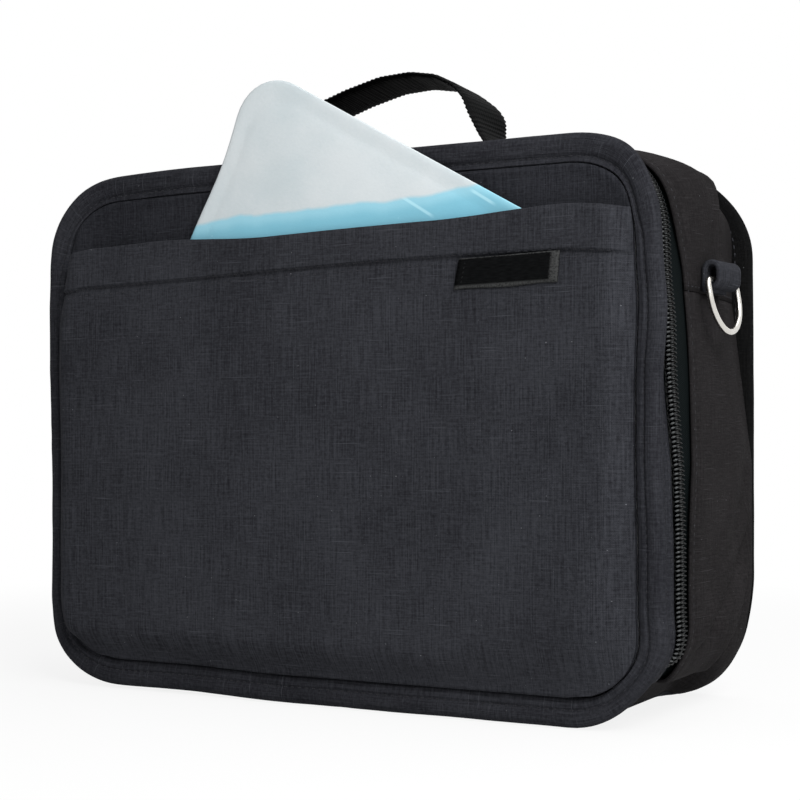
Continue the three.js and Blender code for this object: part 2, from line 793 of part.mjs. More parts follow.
for (const [name, side, reach] of [
  ["handle_foot_right", 1, handle_reach_right],
  ["handle_foot_left", -1, handle_reach_left],
]) {
  const near = side * (reach + webbing_thickness / 2 + clearance * 2);
  const far = near + side * handle_foot_length;
  const foot_z = top_face_z + clearance;
  const x0 = Math.min(near, far);
  const x1 = Math.max(near, far);
  piece(name, block(x0, x1, -tongue_radius, tongue_radius, foot_z, foot_z + webbing_thickness), webbing);
}

// D-ring tabs: a flattened fabric loop with a tail sewn down on the side of the case
const side_station = station(straight_x, tab_middle_z, 1, 0);
const side_face_x = gussetPoint(side_station, 0, 0).x;
const tab_yaw = tab_yaw_degrees * degree;
const tab_middle_x = side_face_x + clearance + tab_thickness / 2 + (tab_length / 2) * Math.sin(tab_yaw);

function tabGeometry() {
  const shape = new THREE.Shape();
  const half = tab_thickness / 2;
  const straight = tab_height / 2 - half;
  shape.moveTo(-half, straight);
  shape.absarc(0, straight, half, Math.PI, 0, true);
  shape.lineTo(half, -straight);
  shape.absarc(0, -straight, half, 0, -Math.PI / 2, true);
  shape.lineTo(-half + tab_tail_thickness, -tab_height / 2);
  shape.lineTo(-half + tab_tail_thickness, -tab_tail);
  shape.lineTo(-half, -tab_tail);
  const bore = new THREE.Path();
  const bore_half = half - tab_wall;
  bore.moveTo(bore_half, -straight);
  bore.lineTo(bore_half, straight);
  bore.absarc(0, straight, bore_half, 0, Math.PI, false);
  bore.lineTo(-bore_half, -straight);
  bore.absarc(0, -straight, bore_half, Math.PI, 2 * Math.PI, false);
  shape.holes.push(bore);
  const options = { depth: tab_length, bevelEnabled: false, curveSegments: turn_steps };
  return new THREE.ExtrudeGeometry(shape, options).rotateX(Math.PI / 2).translate(0, tab_length / 2, 0);
}

// D-ring: a straight bar in the tab's bore, two legs and a half round, in one wire
const bar_drop = tab_height / 2 - tab_wall - ring_wire / 2 - clearance;
function ringGeometry() {
  const half = (ring_inside + ring_wire) / 2;
  const bow_z = -(ring_drop - half);
  const path = new THREE.Path();
  path.moveTo(-half + ring_corner, 0);
  path.lineTo(half - ring_corner, 0);
  path.absarc(half - ring_corner, -ring_corner, ring_corner, Math.PI / 2, 0, true);
  path.lineTo(half, bow_z);
  path.absarc(0, bow_z, half, 0, -Math.PI, true);
  path.lineTo(-half, -ring_corner);
  path.absarc(-half + ring_corner, -ring_corner, ring_corner, Math.PI, Math.PI / 2, true);
  const raw = path.getPoints(turn_steps);
  const route_points = raw.filter((p, i) => p.distanceTo(raw[(i + 1) % raw.length]) > clearance);
  const rings = route_points.map((p, i) => {
    const before = route_points[(i + route_points.length - 1) % route_points.length];
    const after = route_points[(i + 1) % route_points.length];
    const tangent = new THREE.Vector3(0, after.x - before.x, after.y - before.y).normalize();
    const side_way = new THREE.Vector3(0, -tangent.z, tangent.y);
    return Array.from({ length: wire_sides }, (_, k) => {
      const angle = (2 * Math.PI * k) / wire_sides;
      return new THREE.Vector3(0, p.x, p.y)
        .addScaledVector(side_way, (ring_wire / 2) * Math.cos(angle))
        .addScaledVector(new THREE.Vector3(1, 0, 0), (ring_wire / 2) * Math.sin(angle));
    });
  });
  return loopOfSections(rings);
}

for (const [name, side] of [
  ["right", 1],
  ["left", -1],
]) {
  const mirrored = new THREE.Group();
  mirrored.scale.x = side;
  const mounting = new THREE.Group();
  mounting.position.set(tab_middle_x, 0, tab_middle_z);
  mounting.rotation.z = -tab_yaw;
  model.add(mirrored.add(mounting));
  piece("d_ring_tab_" + name, tabGeometry(), shell_cloth, mounting);
  const ring = piece("d_ring_" + name, ringGeometry(), steel, mounting);
  ring.position.z = -bar_drop;
  ring.rotation.y = -ring_tilt_degrees * degree;
}

// Elastic loops sewn to the back lining, relaxed, each a low arch between two seams
function elasticGeometry() {
  const back_y = inner_back_y - lining_thickness - clearance;
  const length = loop_count * loop_pitch;
  const flat = loop_pitch - loop_width;
  const faces = [[], []];
  const add = (x, lift) => {
    const column = (y) => [-0.5, 0.5].map((s) => new THREE.Vector3(x, y, elastic_middle_z + s * elastic_height));
    faces[0].push(column(back_y - lift - elastic_thickness));
    faces[1].push(column(back_y - lift));
  };
  add(-length / 2, 0);
  for (let i = 0; i < loop_count; i++) {
    const start = -length / 2 + i * loop_pitch + flat / 2;
    for (let k = 0; k <= turn_steps + 2; k++) {
      const share = k / (turn_steps + 2);
      add(start + share * loop_width, loop_bulge * Math.sin(share * Math.PI));
    }
  }
  add(length / 2, 0);
  return thickSheet(faces[0], faces[1]);
}
piece("elastic_loops", elasticGeometry(), webbing);

// Mesh pocket flat on the lid's lining, with a bound top edge
const mesh_y = lid_inside_y + clearance;
const mesh_top_z = mesh_bottom_z + mesh_height;
const mesh_half = mesh_width / 2;
piece(
  "mesh_pocket",
  block(-mesh_half, mesh_half, mesh_y, mesh_y + mesh_thickness, mesh_bottom_z, mesh_top_z),
  mesh_cloth,
);
const binding_y = mesh_y + mesh_thickness + clearance;
piece(
  "mesh_binding",
  block(
    -mesh_half,
    mesh_half,
    binding_y,
    binding_y + mesh_binding_thickness,
    mesh_top_z - mesh_binding_height,
    mesh_top_z,
  ),
  binding_cloth,
);

export default model;
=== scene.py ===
"""Soft insulated case for insulin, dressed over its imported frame.

The classes hold sizes in millimetres, and a length becomes metres where a mesh is made.
The finishes read places in metres.
"""

import logging
import math
from collections.abc import Callable, Sequence
from dataclasses import dataclass, field
from enum import Enum
from typing import ClassVar, NamedTuple

import bpy
import numpy as np
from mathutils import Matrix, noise


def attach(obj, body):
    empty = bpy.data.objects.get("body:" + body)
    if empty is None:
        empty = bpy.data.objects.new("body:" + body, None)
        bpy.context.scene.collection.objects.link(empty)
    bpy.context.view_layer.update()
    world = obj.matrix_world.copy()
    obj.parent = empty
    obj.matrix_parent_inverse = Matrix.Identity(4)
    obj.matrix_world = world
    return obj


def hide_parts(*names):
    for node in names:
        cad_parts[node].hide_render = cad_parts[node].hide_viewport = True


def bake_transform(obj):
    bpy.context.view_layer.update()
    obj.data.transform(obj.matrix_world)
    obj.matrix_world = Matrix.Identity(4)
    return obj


Floats = np.ndarray
Piece = bpy.types.Object
Socket = bpy.types.NodeSocket
Colour = tuple[float, float, float]

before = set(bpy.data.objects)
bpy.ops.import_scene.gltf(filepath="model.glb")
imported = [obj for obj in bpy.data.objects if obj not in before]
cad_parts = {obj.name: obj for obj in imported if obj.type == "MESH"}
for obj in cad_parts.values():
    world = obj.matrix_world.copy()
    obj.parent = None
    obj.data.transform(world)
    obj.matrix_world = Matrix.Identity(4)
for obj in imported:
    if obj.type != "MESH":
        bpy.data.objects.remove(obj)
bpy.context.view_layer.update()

log = logging.getLogger("cooling_case")
MM = 0.001
CLOTH_MAP = "cloth"
STATION_PITCH = 2.6
CENTRE = 0.0005
LIT_HEIGHT = 0.11
WHITE = (1.0, 1.0, 1.0, 1.0)
FLOOR_GREY = (0.82, 0.82, 0.82, 1.0)
BACKWARD = np.array([0.0, 1.0, 0.0])
SIDES = (("right", 1), ("left", -1))
LACQUERED = [f"{part}_{side}" for part in ("slider", "slider_base", "pull") for side, _ in SIDES]


# Shaders


def operator(operation: str, swapped: bool = False) -> Callable[["Value", object], "Value"]:
    """A Python operator that adds one Math node.

    Args:
        operation: the node's operation.
        swapped: whether the value is the second operand.

    Returns:
        The operator's method.
    """

    def method(value: "Value", other: object) -> "Value":
        """The node's result."""
        return value.math(operation, *((other, value) if swapped else (value, other)))

    return method


@dataclass(frozen=True)
class Value:
    """A number that a socket gives, on which Python's operators add Math nodes."""

    shader: "Shader"
    socket: Socket

    __add__, __radd__ = operator("ADD"), operator("ADD", swapped=True)
    __sub__, __rsub__ = operator("SUBTRACT"), operator("SUBTRACT", swapped=True)
    __mul__, __rmul__ = operator("MULTIPLY"), operator("MULTIPLY", swapped=True)
    largest = operator("MAXIMUM")

    def math(self, operation: str, *operands: object) -> "Value":
        """The result of one Math node on numbers or Values."""
        made = self.shader.node("ShaderNodeMath", {"operation": operation}, dict(enumerate(operands)))
        return Value(self.shader, made.outputs[0])

    def wave(self, pitch: float) -> "Value":
        """A sine from 0 to 1 along this length, one wave a pitch in millimetres."""
        turns = self * (2 * math.pi / (pitch * MM))
        return turns.math("SINE", turns) * 0.5 + 0.5

    def band(self, low: float, high: float) -> "Value":
        """A smooth step from 0 at low to 1 at high."""
        inputs = {"Value": self, "From Min": low, "From Max": high}
        made = self.shader.node("ShaderNodeMapRange", {"interpolation_type": "SMOOTHSTEP"}, inputs)
        return Value(self.shader, made.outputs[0])


class Shader:
    """The nodes of one material or of the world."""

    def __init__(self, owner: bpy.types.Material | bpy.types.World) -> None:
        """Clears the owner's nodes.

        Args:
            owner: the material or the world.
        """
        owner.use_nodes = True
        self.owner = owner
        self.tree = owner.node_tree
        self.tree.nodes.clear()

    def node(
        self, kind: str, settings: dict[str, object] | None = None, inputs: dict[object, object] | None = None
    ) -> bpy.types.Node:
        """Adds a node.

        Args:
            kind: the node's type.
            settings: its own settings, set first.
            inputs: a value or a socket to link, by socket name or number.

        Returns:
            The node.
        """
        made = self.tree.nodes.new(kind)
        for key, value in (settings or {}).items():
            setattr(made, key, value)
        for key, value in (inputs or {}).items():
            value = value.socket if isinstance(value, Value) else value
            if isinstance(value, Socket):
                self.tree.links.new(value, made.inputs[key])
            else:
                made.inputs[key].default_value = value
        return made

    def cloth_place(self) -> Socket:
        """The place on the cloth, across and along its threads, in metres."""
        return self.node("ShaderNodeUVMap", {"uv_map": CLOTH_MAP}).outputs[0]

    def object_place(self) -> Socket:
        """The place in the object, in metres."""
        return self.node("ShaderNodeTexCoord").outputs["Object"]

    def parts(self, place: Socket) -> list[Value]:
        """A vector's three parts."""
        made = self.node("ShaderNodeSeparateXYZ", inputs={0: place})
        return [Value(self, part) for part in made.outputs]

    def grain(self, place: Socket, size: Sequence[float], detail: float = 2.0, rough: float = 0.6) -> Value:
        """Noise whose blots have about the given sizes.

        Args:
            place: the vector it reads, in metres.
            size: a blot's size along each axis, in millimetres.
            detail: how many finer layers it has.
            rough: how strong they are.

        Returns:
            A value from 0 to 1 about 0.5.
        """
        scale = tuple(1 / (s * MM) for s in size)
        at = self.node("ShaderNodeVectorMath", {"operation": "MULTIPLY"}, {0: place, 1: scale})
        inputs = {"Vector": at.outputs[0], "Scale": 1.0, "Detail": detail, "Roughness": rough}
        return Value(self, self.node("ShaderNodeTexNoise", {}, inputs).outputs[0])

    def blend(self, share: Value, first: object, second: object) -> Socket:
        """A colour between two, by share."""
        first, second = (c if isinstance(c, Socket) else (*c, 1.0) for c in (first, second))
        return self.node("ShaderNodeMix", {"data_type": "RGBA"}, {0: share, 6: first, 7: second}).outputs[2]

    def bump(self, height: Value, depth: float) -> Socket:
        """A normal from a height of 0 to 1, whose full depth is in millimetres."""
        inputs = {"Height": height, "Distance": depth * MM, "Strength": 1.0}
        return self.node("ShaderNodeBump", {}, inputs).outputs[0]


Painted = tuple[Socket, Value, Value, float, dict[str, object]]


@dataclass(frozen=True)
class Look:
    """A finish, painted between a deep and a light colour by each kind in its own way."""

    name: str
    deep: Colour
    light: Colour
    on_cloth: ClassVar[bool] = True

    def paint(self, s: Shader, place: Socket) -> Painted:
        """Adds the finish's own nodes.

        Args:
            s: the material's nodes.
            place: the place on the cloth, or in the object.

        Returns:
            The colour, the roughness, the height of its relief, that relief's depth in
            millimetres, and the surface's other inputs.
        """
        raise NotImplementedError

    def make(self) -> bpy.types.Material:
        """Builds the material."""
        s = Shader(bpy.data.materials.new(self.name))
        place = s.cloth_place() if self.on_cloth else s.object_place()
        colour, rough, height, depth, others = self.paint(s, place)
        inputs = {**others, "Base Color": colour, "Roughness": rough, "Normal": s.bump(height, depth)}
        surface = s.node("ShaderNodeBsdfPrincipled", {}, inputs)
        s.node("ShaderNodeOutputMaterial", {}, {0: surface.outputs[0]})
        return s.owner


@dataclass(frozen=True)
class SlubCloth(Look):
    """Woven nylon with slubs: streaks along its warp and a few lighter threads across."""

    deep: Colour = (0.0118, 0.0121, 0.0146)
    light: Colour = (0.0405, 0.0423, 0.0495)
    thread: Colour = (0.072, 0.076, 0.088)
    streak: float = 1.0
    lint: ClassVar[Colour] = (0.26, 0.27, 0.29)
    weave: ClassVar[float] = 0.62

    def paint(self, s: Shader, place: Socket) -> Painted:
        """Weaves the slubs, and drops a little lint on them."""
        across, along, _ = s.parts(place)
        warp = s.grain(place, (0.55, 16.0, 1.0))
        weft = s.grain(place, (9.0, 0.6, 1.0))
        mottle = s.grain(place, (1.3, 1.3, 1.0), 3.0, 0.7)
        drift = s.grain(s.object_place(), (45.0, 45.0, 45.0), rough=0.5)
        share = warp * 0.5 * self.streak + weft * 0.3 + mottle * 0.45 + drift * 0.24 - 0.25
        base = s.blend(share.band(0.24, 0.74), self.deep, self.light)
        bright = s.grain(place, (22.0, 0.5, 1.0), 1.0, 0.4).band(0.68, 0.76)
        base = s.blend(bright * 0.4, base, self.thread)
        specks = s.grain(place, (0.9, 0.9, 1.0), 0.0, 0.0).band(0.872, 0.886)
        base = s.blend(specks * 0.4, base, self.lint)
        weave = across.wave(self.weave) * along.wave(self.weave)
        height = weave * 0.5 + warp * 0.55 + weft * 0.45
        return base, mottle * 0.16 + 0.74, height, 0.16, {"Specular IOR Level": 0.02}


@dataclass(frozen=True)
class TapeCloth(Look):
    """Zip tape: a close herringbone, near black and a little green."""

    deep: Colour = (0.0016, 0.0025, 0.0027)
    light: Colour = (0.0055, 0.008, 0.0085)

    def paint(self, s: Shader, place: Socket) -> Painted:
        """Weaves the twill."""
        across, along, _ = s.parts(place)
        twill = (along + across * 0.9).wave(0.9)
        blots = s.grain(place, (0.8, 3.0, 1.0))
        base = s.blend((twill * 0.5 + blots * 0.6 - 0.05), self.deep, self.light)
        return base, blots * 0.2 + 0.7, twill, 0.1, {"Specular IOR Level": 0.04}


@dataclass(frozen=True)
class Webbing(Look):
    """Polypropylene webbing with a rib across it at each pick."""

    deep: Colour = (0.0007, 0.0008, 0.0008)
    light: Colour = (0.005, 0.0052, 0.0053)
    rib: float = 2.1

    def paint(self, s: Shader, place: Socket) -> Painted:
        """Weaves the ribs over the cords."""
        across, along, _ = s.parts(place)
        rib, cord = along.wave(self.rib), across.wave(1.5)
        blots = s.grain(place, (1.2, 1.6, 1.0))
        base = s.blend(rib * 0.45 + cord * 0.12 + blots * 0.45 - 0.05, self.deep, self.light)
        return base, blots * 0.2 + 0.62, rib + cord * 0.35, 0.3, {"Specular IOR Level": 0.05}


@dataclass(frozen=True)
class Thread(Look):
    """Bonded sewing thread, twisted along its length."""

    deep: Colour = (0.008, 0.0083, 0.0105)
    light: Colour = (0.028, 0.029, 0.035)
    on_cloth: ClassVar[bool] = False

    def paint(self, s: Shader, place: Socket) -> Painted:
        """Blots the thread."""
        blots = s.grain(place, (0.35, 0.35, 0.35))
        base = s.blend(blots.band(0.3, 0.7), self.deep, self.light)
        return base, blots * 0.2 + 0.5, blots, 0.05, {"Specular IOR Level": 0.2}


@dataclass(frozen=True)
class CoilPlastic(Look):
    """Black nylon of the zip's coils, with a highlight painted on top of each turn."""

    deep: Colour = (0.0035, 0.004, 0.0042)
    # light is the painted highlight, standing in for the light caught on each turn's crest.
    light: Colour = (0.085, 0.09, 0.092)

    def paint(self, s: Shader, place: Socket) -> Painted:
        """Paints a highlight on the crest of each turn."""
        crest = s.parts(place)[0]
        blots = s.grain(s.object_place(), (1.1, 1.1, 1.1))
        # Painted highlight: the crests are lightened, standing in for the light that they catch.
        base = s.blend(crest.band(0.72, 0.98) * (blots * 0.5 + 0.6), self.deep, self.light)
        return base, blots * 0.2 + 0.42, blots, 0.03, {"Specular IOR Level": 0.18}


@dataclass(frozen=True)
class Metal(Look):
    """Metal with fine scratches and a worn, uneven polish."""

    metallic: float = 1.0
    smooth: float = 0.16
    on_cloth: ClassVar[bool] = False

    def paint(self, s: Shader, place: Socket) -> Painted:
        """Clouds and scratches the metal."""
        cloud = s.grain(place, (7.0, 7.0, 7.0), 3.0)
        scratch = s.grain(place, (0.25, 3.0, 0.25))
        base = s.blend(cloud * 0.7 + scratch * 0.3, self.deep, self.light)
        rough = cloud * 0.12 + scratch.band(0.55, 0.75) * 0.12 + self.smooth
        return base, rough, scratch + cloud * 0.4, 0.02, {"Metallic": self.metallic}


@dataclass(frozen=True)
class FrostedFilm(Look):
    """Frosted pouch film: white above the gel and blue where the gel lies behind it."""

    deep: Colour = (0.13, 0.4, 0.54)
    light: Colour = (0.215, 0.49, 0.595)
    frost: Colour = (0.49, 0.55, 0.57)
    haze: Colour = (0.575, 0.615, 0.63)
    rim: Colour = (0.42, 0.7, 0.8)
    bubble: Colour = (0.5, 0.74, 0.82)
    crease: Colour = (0.5, 0.78, 0.86)
    level: float = 187.5
    creases: tuple[tuple[float, float, float], ...] = ((34.3, 197.1, 19.1), (64.5, 196.9, 12.9))
    on_cloth: ClassVar[bool] = False

    def paint(self, s: Shader, place: Socket) -> Painted:
        """Fills the pouch up to a wavy line that falls away at both sides."""
        x, _, z = s.parts(place)
        ripple = s.grain(place, (46.0, 200.0, 400.0), rough=0.5)
        small = s.grain(place, (9.0, 40.0, 30.0), rough=0.5)
        fall = x.band(0.066, 0.09) * (8.0 * MM) - x.band(0.045, 0.062) * (3.0 * MM)
        fall = fall + x.band(-0.03, -0.075) * (3.0 * MM)
        under = ripple * (12.0 * MM) + small * (2.0 * MM) - fall + self.level * MM - z
        wet = under.band(-0.0009, 0.0011)
        edge = under.band(-0.0009, 0.0006) * (1 - under.band(0.001, 0.006))
        cloud = s.grain(place, (34.0, 34.0, 30.0), 3.0, 0.5)
        fine = s.grain(place, (1.3, 1.3, 1.3))
        clear = s.blend((cloud * 0.8 + fine * 0.2).band(0.3, 0.72), self.frost, self.haze)
        blue = s.blend(under.band(0.0, 0.02) * 0.6 + cloud * 0.4, self.light, self.deep)
        blue = s.blend(edge * 0.35, blue, self.rim)
        bubbles = s.grain(place, (2.2, 9.0, 2.2), 1.0, 0.3).band(0.80, 0.84) * wet
        for x0, z0, reach in self.creases:
            from_x, from_z = x - x0 * MM, z - z0 * MM
            along, off = from_x * 0.85 - from_z * 0.53, from_x * 0.53 + from_z * 0.85
            line = (off * off).band(6e-7, 3e-8) * along.band(-0.001, 0.002)
            line = line * along.band(reach * MM, (reach - 4) * MM)
            blue = s.blend(line * 0.5, blue, self.crease)
        base = s.blend(bubbles * 0.4, s.blend(wet, clear, blue), self.bubble)
        rough = cloud * 0.14 + fine * 0.06 + 0.3
        return base, rough, cloud * 0.7 + fine * 0.12, 0.5, {"Specular IOR Level": 0.4}


@dataclass(frozen=True)
class Foil(Look):
    """Foil-faced lining, embossed in small diamonds and softly crumpled."""

    deep: Colour = (0.36, 0.375, 0.39)
    light: Colour = (0.62, 0.63, 0.64)
    diamond: ClassVar[float] = 4.2

    def paint(self, s: Shader, place: Socket) -> Painted:
        """Embosses and crumples the foil."""
        across, along, _ = s.parts(place)
        emboss = (along + across).wave(self.diamond) * (along - across).wave(self.diamond)
        crumpling = s.grain(place, (9.0, 9.0, 1.0), 3.0)
        base = s.blend(crumpling.band(0.3, 0.7), self.deep, self.light)
        return base, crumpling * 0.2 + 0.26, emboss * 0.5 + crumpling, 0.5, {"Metallic": 0.6}


@dataclass(frozen=True)
class Foam(Look):
    """Closed-cell foam sheet."""

    deep: Colour = (0.5, 0.5, 0.47)
    light: Colour = (0.72, 0.72, 0.69)
    on_cloth: ClassVar[bool] = False

    def paint(self, s: Shader, place: Socket) -> Painted:
        """Fills the foam with cells."""
        cells = s.grain(place, (0.7, 0.7, 0.7), rough=0.7)
        cloud = s.grain(place, (25.0, 25.0, 25.0), rough=0.5)
        base = s.blend(cells * 0.5 + cloud * 0.5, self.deep, self.light)
        return base, cells * 0.1 + 0.86, cells, 0.25, {}


@dataclass(frozen=True)
class Net(Look):
    """Open polyester net, whose holes let the lining show."""

    deep: Colour = (0.02, 0.021, 0.024)
    light: Colour = (0.05, 0.052, 0.058)
    hole: ClassVar[float] = 1.9

    def paint(self, s: Shader, place: Socket) -> Painted:
        """Opens the holes."""
        across, along, _ = s.parts(place)
        mesh = (along + across * 0.6).wave(self.hole) * (along - across * 0.6).wave(self.hole)
        fine = s.grain(place, (0.4, 0.4, 1.0))
        base = s.blend(fine, self.deep, self.light)
        return base, fine * 0.2 + 0.6, mesh, 0.2, {"Alpha": 1 - mesh.band(0.3, 0.4)}


@dataclass(frozen=True)
class Satin(Look):
    """Smooth woven patch, black with a faint satin grain and greyer woven edges."""

    deep: Colour = (0.003, 0.0031, 0.0033)
    light: Colour = (0.0065, 0.0069, 0.0072)
    selvage: Colour = (0.052, 0.053, 0.053)

    def paint(self, s: Shader, place: Socket) -> Painted:
        """Weaves the satin, and frays its right, lower and upper edges."""
        across, up, _ = s.parts(place)
        grain = s.grain(place, (3.0, 0.35, 1.0))
        fray = s.grain(place, (0.8, 0.8, 1.0), rough=0.7)
        base = s.blend(grain.band(0.3, 0.75), self.deep, self.light)
        level = up - across * 0.024 + fray * 0.0009
        right = (across - up * 0.09 + fray * 0.001).band(0.0834, 0.0846)
        edge = right.largest(level.band(0.1603, 0.1593)).largest(level.band(0.1694, 0.1698))
        base = s.blend(edge * fray.band(0.2, 0.62) * 0.9, base, self.selvage)
        height = across.wave(0.4) * 0.3 + grain
        return base, grain * 0.15 + 0.55, height, 0.06, {"Specular IOR Level": 0.0}


class Finish(Enum):
    """The case's finishes."""

    SHELL = SlubCloth("shell_slub")
    GUSSET = SlubCloth(
        "gusset_slub", (0.0098, 0.009, 0.0094), (0.0295, 0.0275, 0.0285), (0.052, 0.05, 0.053), 0.7
    )
    # A darker copy of the shell's cloth for the front cloth above the pocket: painted shade, standing in for
    # the shade behind the rim and the pocket.
    FRONT = SlubCloth(
        "front_slub_painted_shade", (0.0093, 0.0096, 0.0118), (0.0318, 0.0332, 0.0395), (0.063, 0.0665, 0.0775)
    )
    BINDING = SlubCloth(
        "binding_slub", (0.0115, 0.0117, 0.0144), (0.04, 0.0415, 0.0485), (0.074, 0.078, 0.089), 0.8
    )
    # A far darker copy of the binding's cloth for the back rim: painted shade, standing in for the shade that
    # the back rim lies in.
    SHADED_BACK_BINDING = SlubCloth(
        "back_binding_painted_shade", (0.0034, 0.0034, 0.0035), (0.0102, 0.0103, 0.0105), (0.019, 0.019, 0.0195), 0.8
    )
    TAPE = TapeCloth("zip_tape")
    WEBBING = Webbing("ribbed_webbing")
    ELASTIC = Webbing("elastic", (0.01, 0.01, 0.011), (0.03, 0.031, 0.034), 1.1)
    THREAD = Thread("thread")
    PATCH_THREAD = Thread("patch_thread", (0.003, 0.003, 0.0035), (0.009, 0.009, 0.01))
    COIL = CoilPlastic("coil_nylon")
    STEEL = Metal("polished_steel", (0.52, 0.5, 0.46), (0.82, 0.8, 0.76))
    LACQUER = Metal("lacquered_zinc", (0.012, 0.012, 0.013), (0.04, 0.041, 0.044), 0.75, 0.28)
    FILM = FrostedFilm("pouch_film")
    FOIL = Foil("embossed_foil")
    FOAM = Foam("foam_sheet")
    NET = Net("net")
    PATCH = Satin("patch_satin")

    def material(self) -> bpy.types.Material:
        """The finish's material, made once."""
        name = "finish_" + self.value.name
        if name not in bpy.data.materials:
            self.value.make().name = name
        return bpy.data.materials[name]


# Numbers


def smooth(share: Floats | float) -> Floats:
    """A smooth step from 0 to 1."""
    t = np.clip(share, 0, 1)
    return t * t * (3 - 2 * t)


def ramp(value: Floats, start: float, end: float) -> Floats:
    """A smooth step from 0 where a value is at start to 1 where it is at end."""
    return smooth((value - start) / (end - start))


def bell(distance: Floats, width: float) -> Floats:
    """A bump of 1 that fades over a width."""
    return np.exp(-((distance / width) ** 2))


def wander(points: Floats, size: float, seed: float) -> Floats:
    """Slow noise of about -1 to 1.

    Args:
        points: places in millimetres, three to a row at the end.
        size: how far apart its blots are.
        seed: an offset that tells one field from another.

    Returns:
        One number for each point.
    """
    flat = points.reshape(-1, 3) / size + seed
    return np.array([noise.noise(p) for p in flat.tolist()]).reshape(points.shape[:-1])


def unit(vectors: Floats) -> Floats:
    """Vectors of length 1."""
    return vectors / np.linalg.norm(vectors, axis=-1, keepdims=True)


def turned(first: Floats, second: Floats, degrees: float) -> tuple[Floats, Floats]:
    """Two coordinates, turned from the second axis towards the first."""
    cos, sin = math.cos(math.radians(degrees)), math.sin(math.radians(degrees))
    return first * cos + second * sin, -first * sin + second * cos


def crossed(xs: Floats, zs: Floats, y: Floats | float) -> Floats:
    """A grid of points, xs by zs, at a depth of one number or one a point."""
    grid_x, grid_z = np.meshgrid(xs, zs, indexing="ij")
    return np.stack([grid_x, np.broadcast_to(y, grid_x.shape), grid_z], -1)


def moved(points: Floats, y: Floats | float) -> Floats:
    """Points at other depths."""
    return np.stack([points[..., 0], np.broadcast_to(y, points.shape[:-1]), points[..., 2]], -1)


def lengths_along(points: Floats) -> Floats:
    """Distance from the first point to each of a row of points."""
    steps = np.linalg.norm(np.diff(points, axis=0), axis=-1)
    return np.concatenate([[0.0], np.cumsum(steps)])


def at_lengths(points: Floats, along: Floats, goals: Floats) -> Floats:
    """Places at given lengths along a line."""
    return np.stack([np.interp(goals, along, column) for column in points.T], 1)


def even_places(points: Floats, pitch: float, closed: bool = False) -> tuple[Floats, Floats]:
    """Places a pitch apart along a line.

    Args:
        points: the line's points.
        pitch: the distance wanted, which is adjusted to fit.
        closed: whether the line comes back to its start.

    Returns:
        The places and the line's direction at each.
    """
    line = np.concatenate([points, points[:1]]) if closed else points
    along = lengths_along(line)
    end, reach = along[-1], 0.4
    count = max(int(round(end / pitch)), 2)
    goals = np.linspace(0, end, count + 1)[:-1] if closed else (np.arange(count) + 0.5) * end / count
    ahead = at_lengths(line, along, np.minimum(goals + reach, end))
    behind = at_lengths(line, along, np.maximum(goals - reach, 0))
    return at_lengths(line, along, goals), unit(ahead - behind)


def copies(pattern: Floats, quads: Floats, spots: Floats, axes: Sequence[Floats]) -> tuple[Floats, Floats]:
    """A pattern's points and quads, copied to many spots.

    Args:
        pattern: the pattern's points.
        quads: its quads.
        spots: where the copies go.
        axes: where the pattern's three axes point at each spot.

    Returns:
        All the points and all the quads.
    """
    points = spots[:, None]
    for i, axis in enumerate(axes):
        points = points + pattern[None, :, i : i + 1] * axis[:, None]
    shifts = np.arange(len(spots)) * len(pattern)
    return points.reshape(-1, 3), (quads[None] + shifts[:, None, None]).reshape(-1, 4)


# Meshes


def volume_of(points: Floats, quads: Floats) -> float:
    """Six times the signed volume inside closed quads."""
    a, b, c, d = (points[quads[:, i]] for i in range(4))
    first = np.einsum("ij,ij->i", a, np.cross(b, c)).sum()
    return first + np.einsum("ij,ij->i", a, np.cross(c, d)).sum()


def piece_of(name: str, points: Floats, quads: Floats, places: Floats | None, finish: Finish) -> Piece:
    """A closed mesh piece from quads, turned face out.

    Args:
        name: the piece's name.
        points: its points in millimetres.
        quads: four point numbers a row.
        places: the place on the cloth of each quad's corners in metres, or None.
        finish: its finish.

    Returns:
        The piece.
    """
    if volume_of(points, quads) < 0:
        quads = quads[:, ::-1]
        places = None if places is None else places[:, ::-1]
    mesh = bpy.data.meshes.new(name)
    mesh.from_pydata((points * MM).tolist(), [], quads.tolist())
    if places is not None:
        mesh.uv_layers.new(name=CLOTH_MAP).data.foreach_set("uv", places.astype(np.float32).ravel())
    mesh.shade_smooth()
    mesh.materials.append(finish.material())
    made = bpy.data.objects.new(name, mesh)
    bpy.context.scene.collection.objects.link(made)
    return made


def points_of(piece: Piece) -> Floats:
    """A piece's points in millimetres."""
    return np.array([v.co for v in piece.data.vertices]) / MM


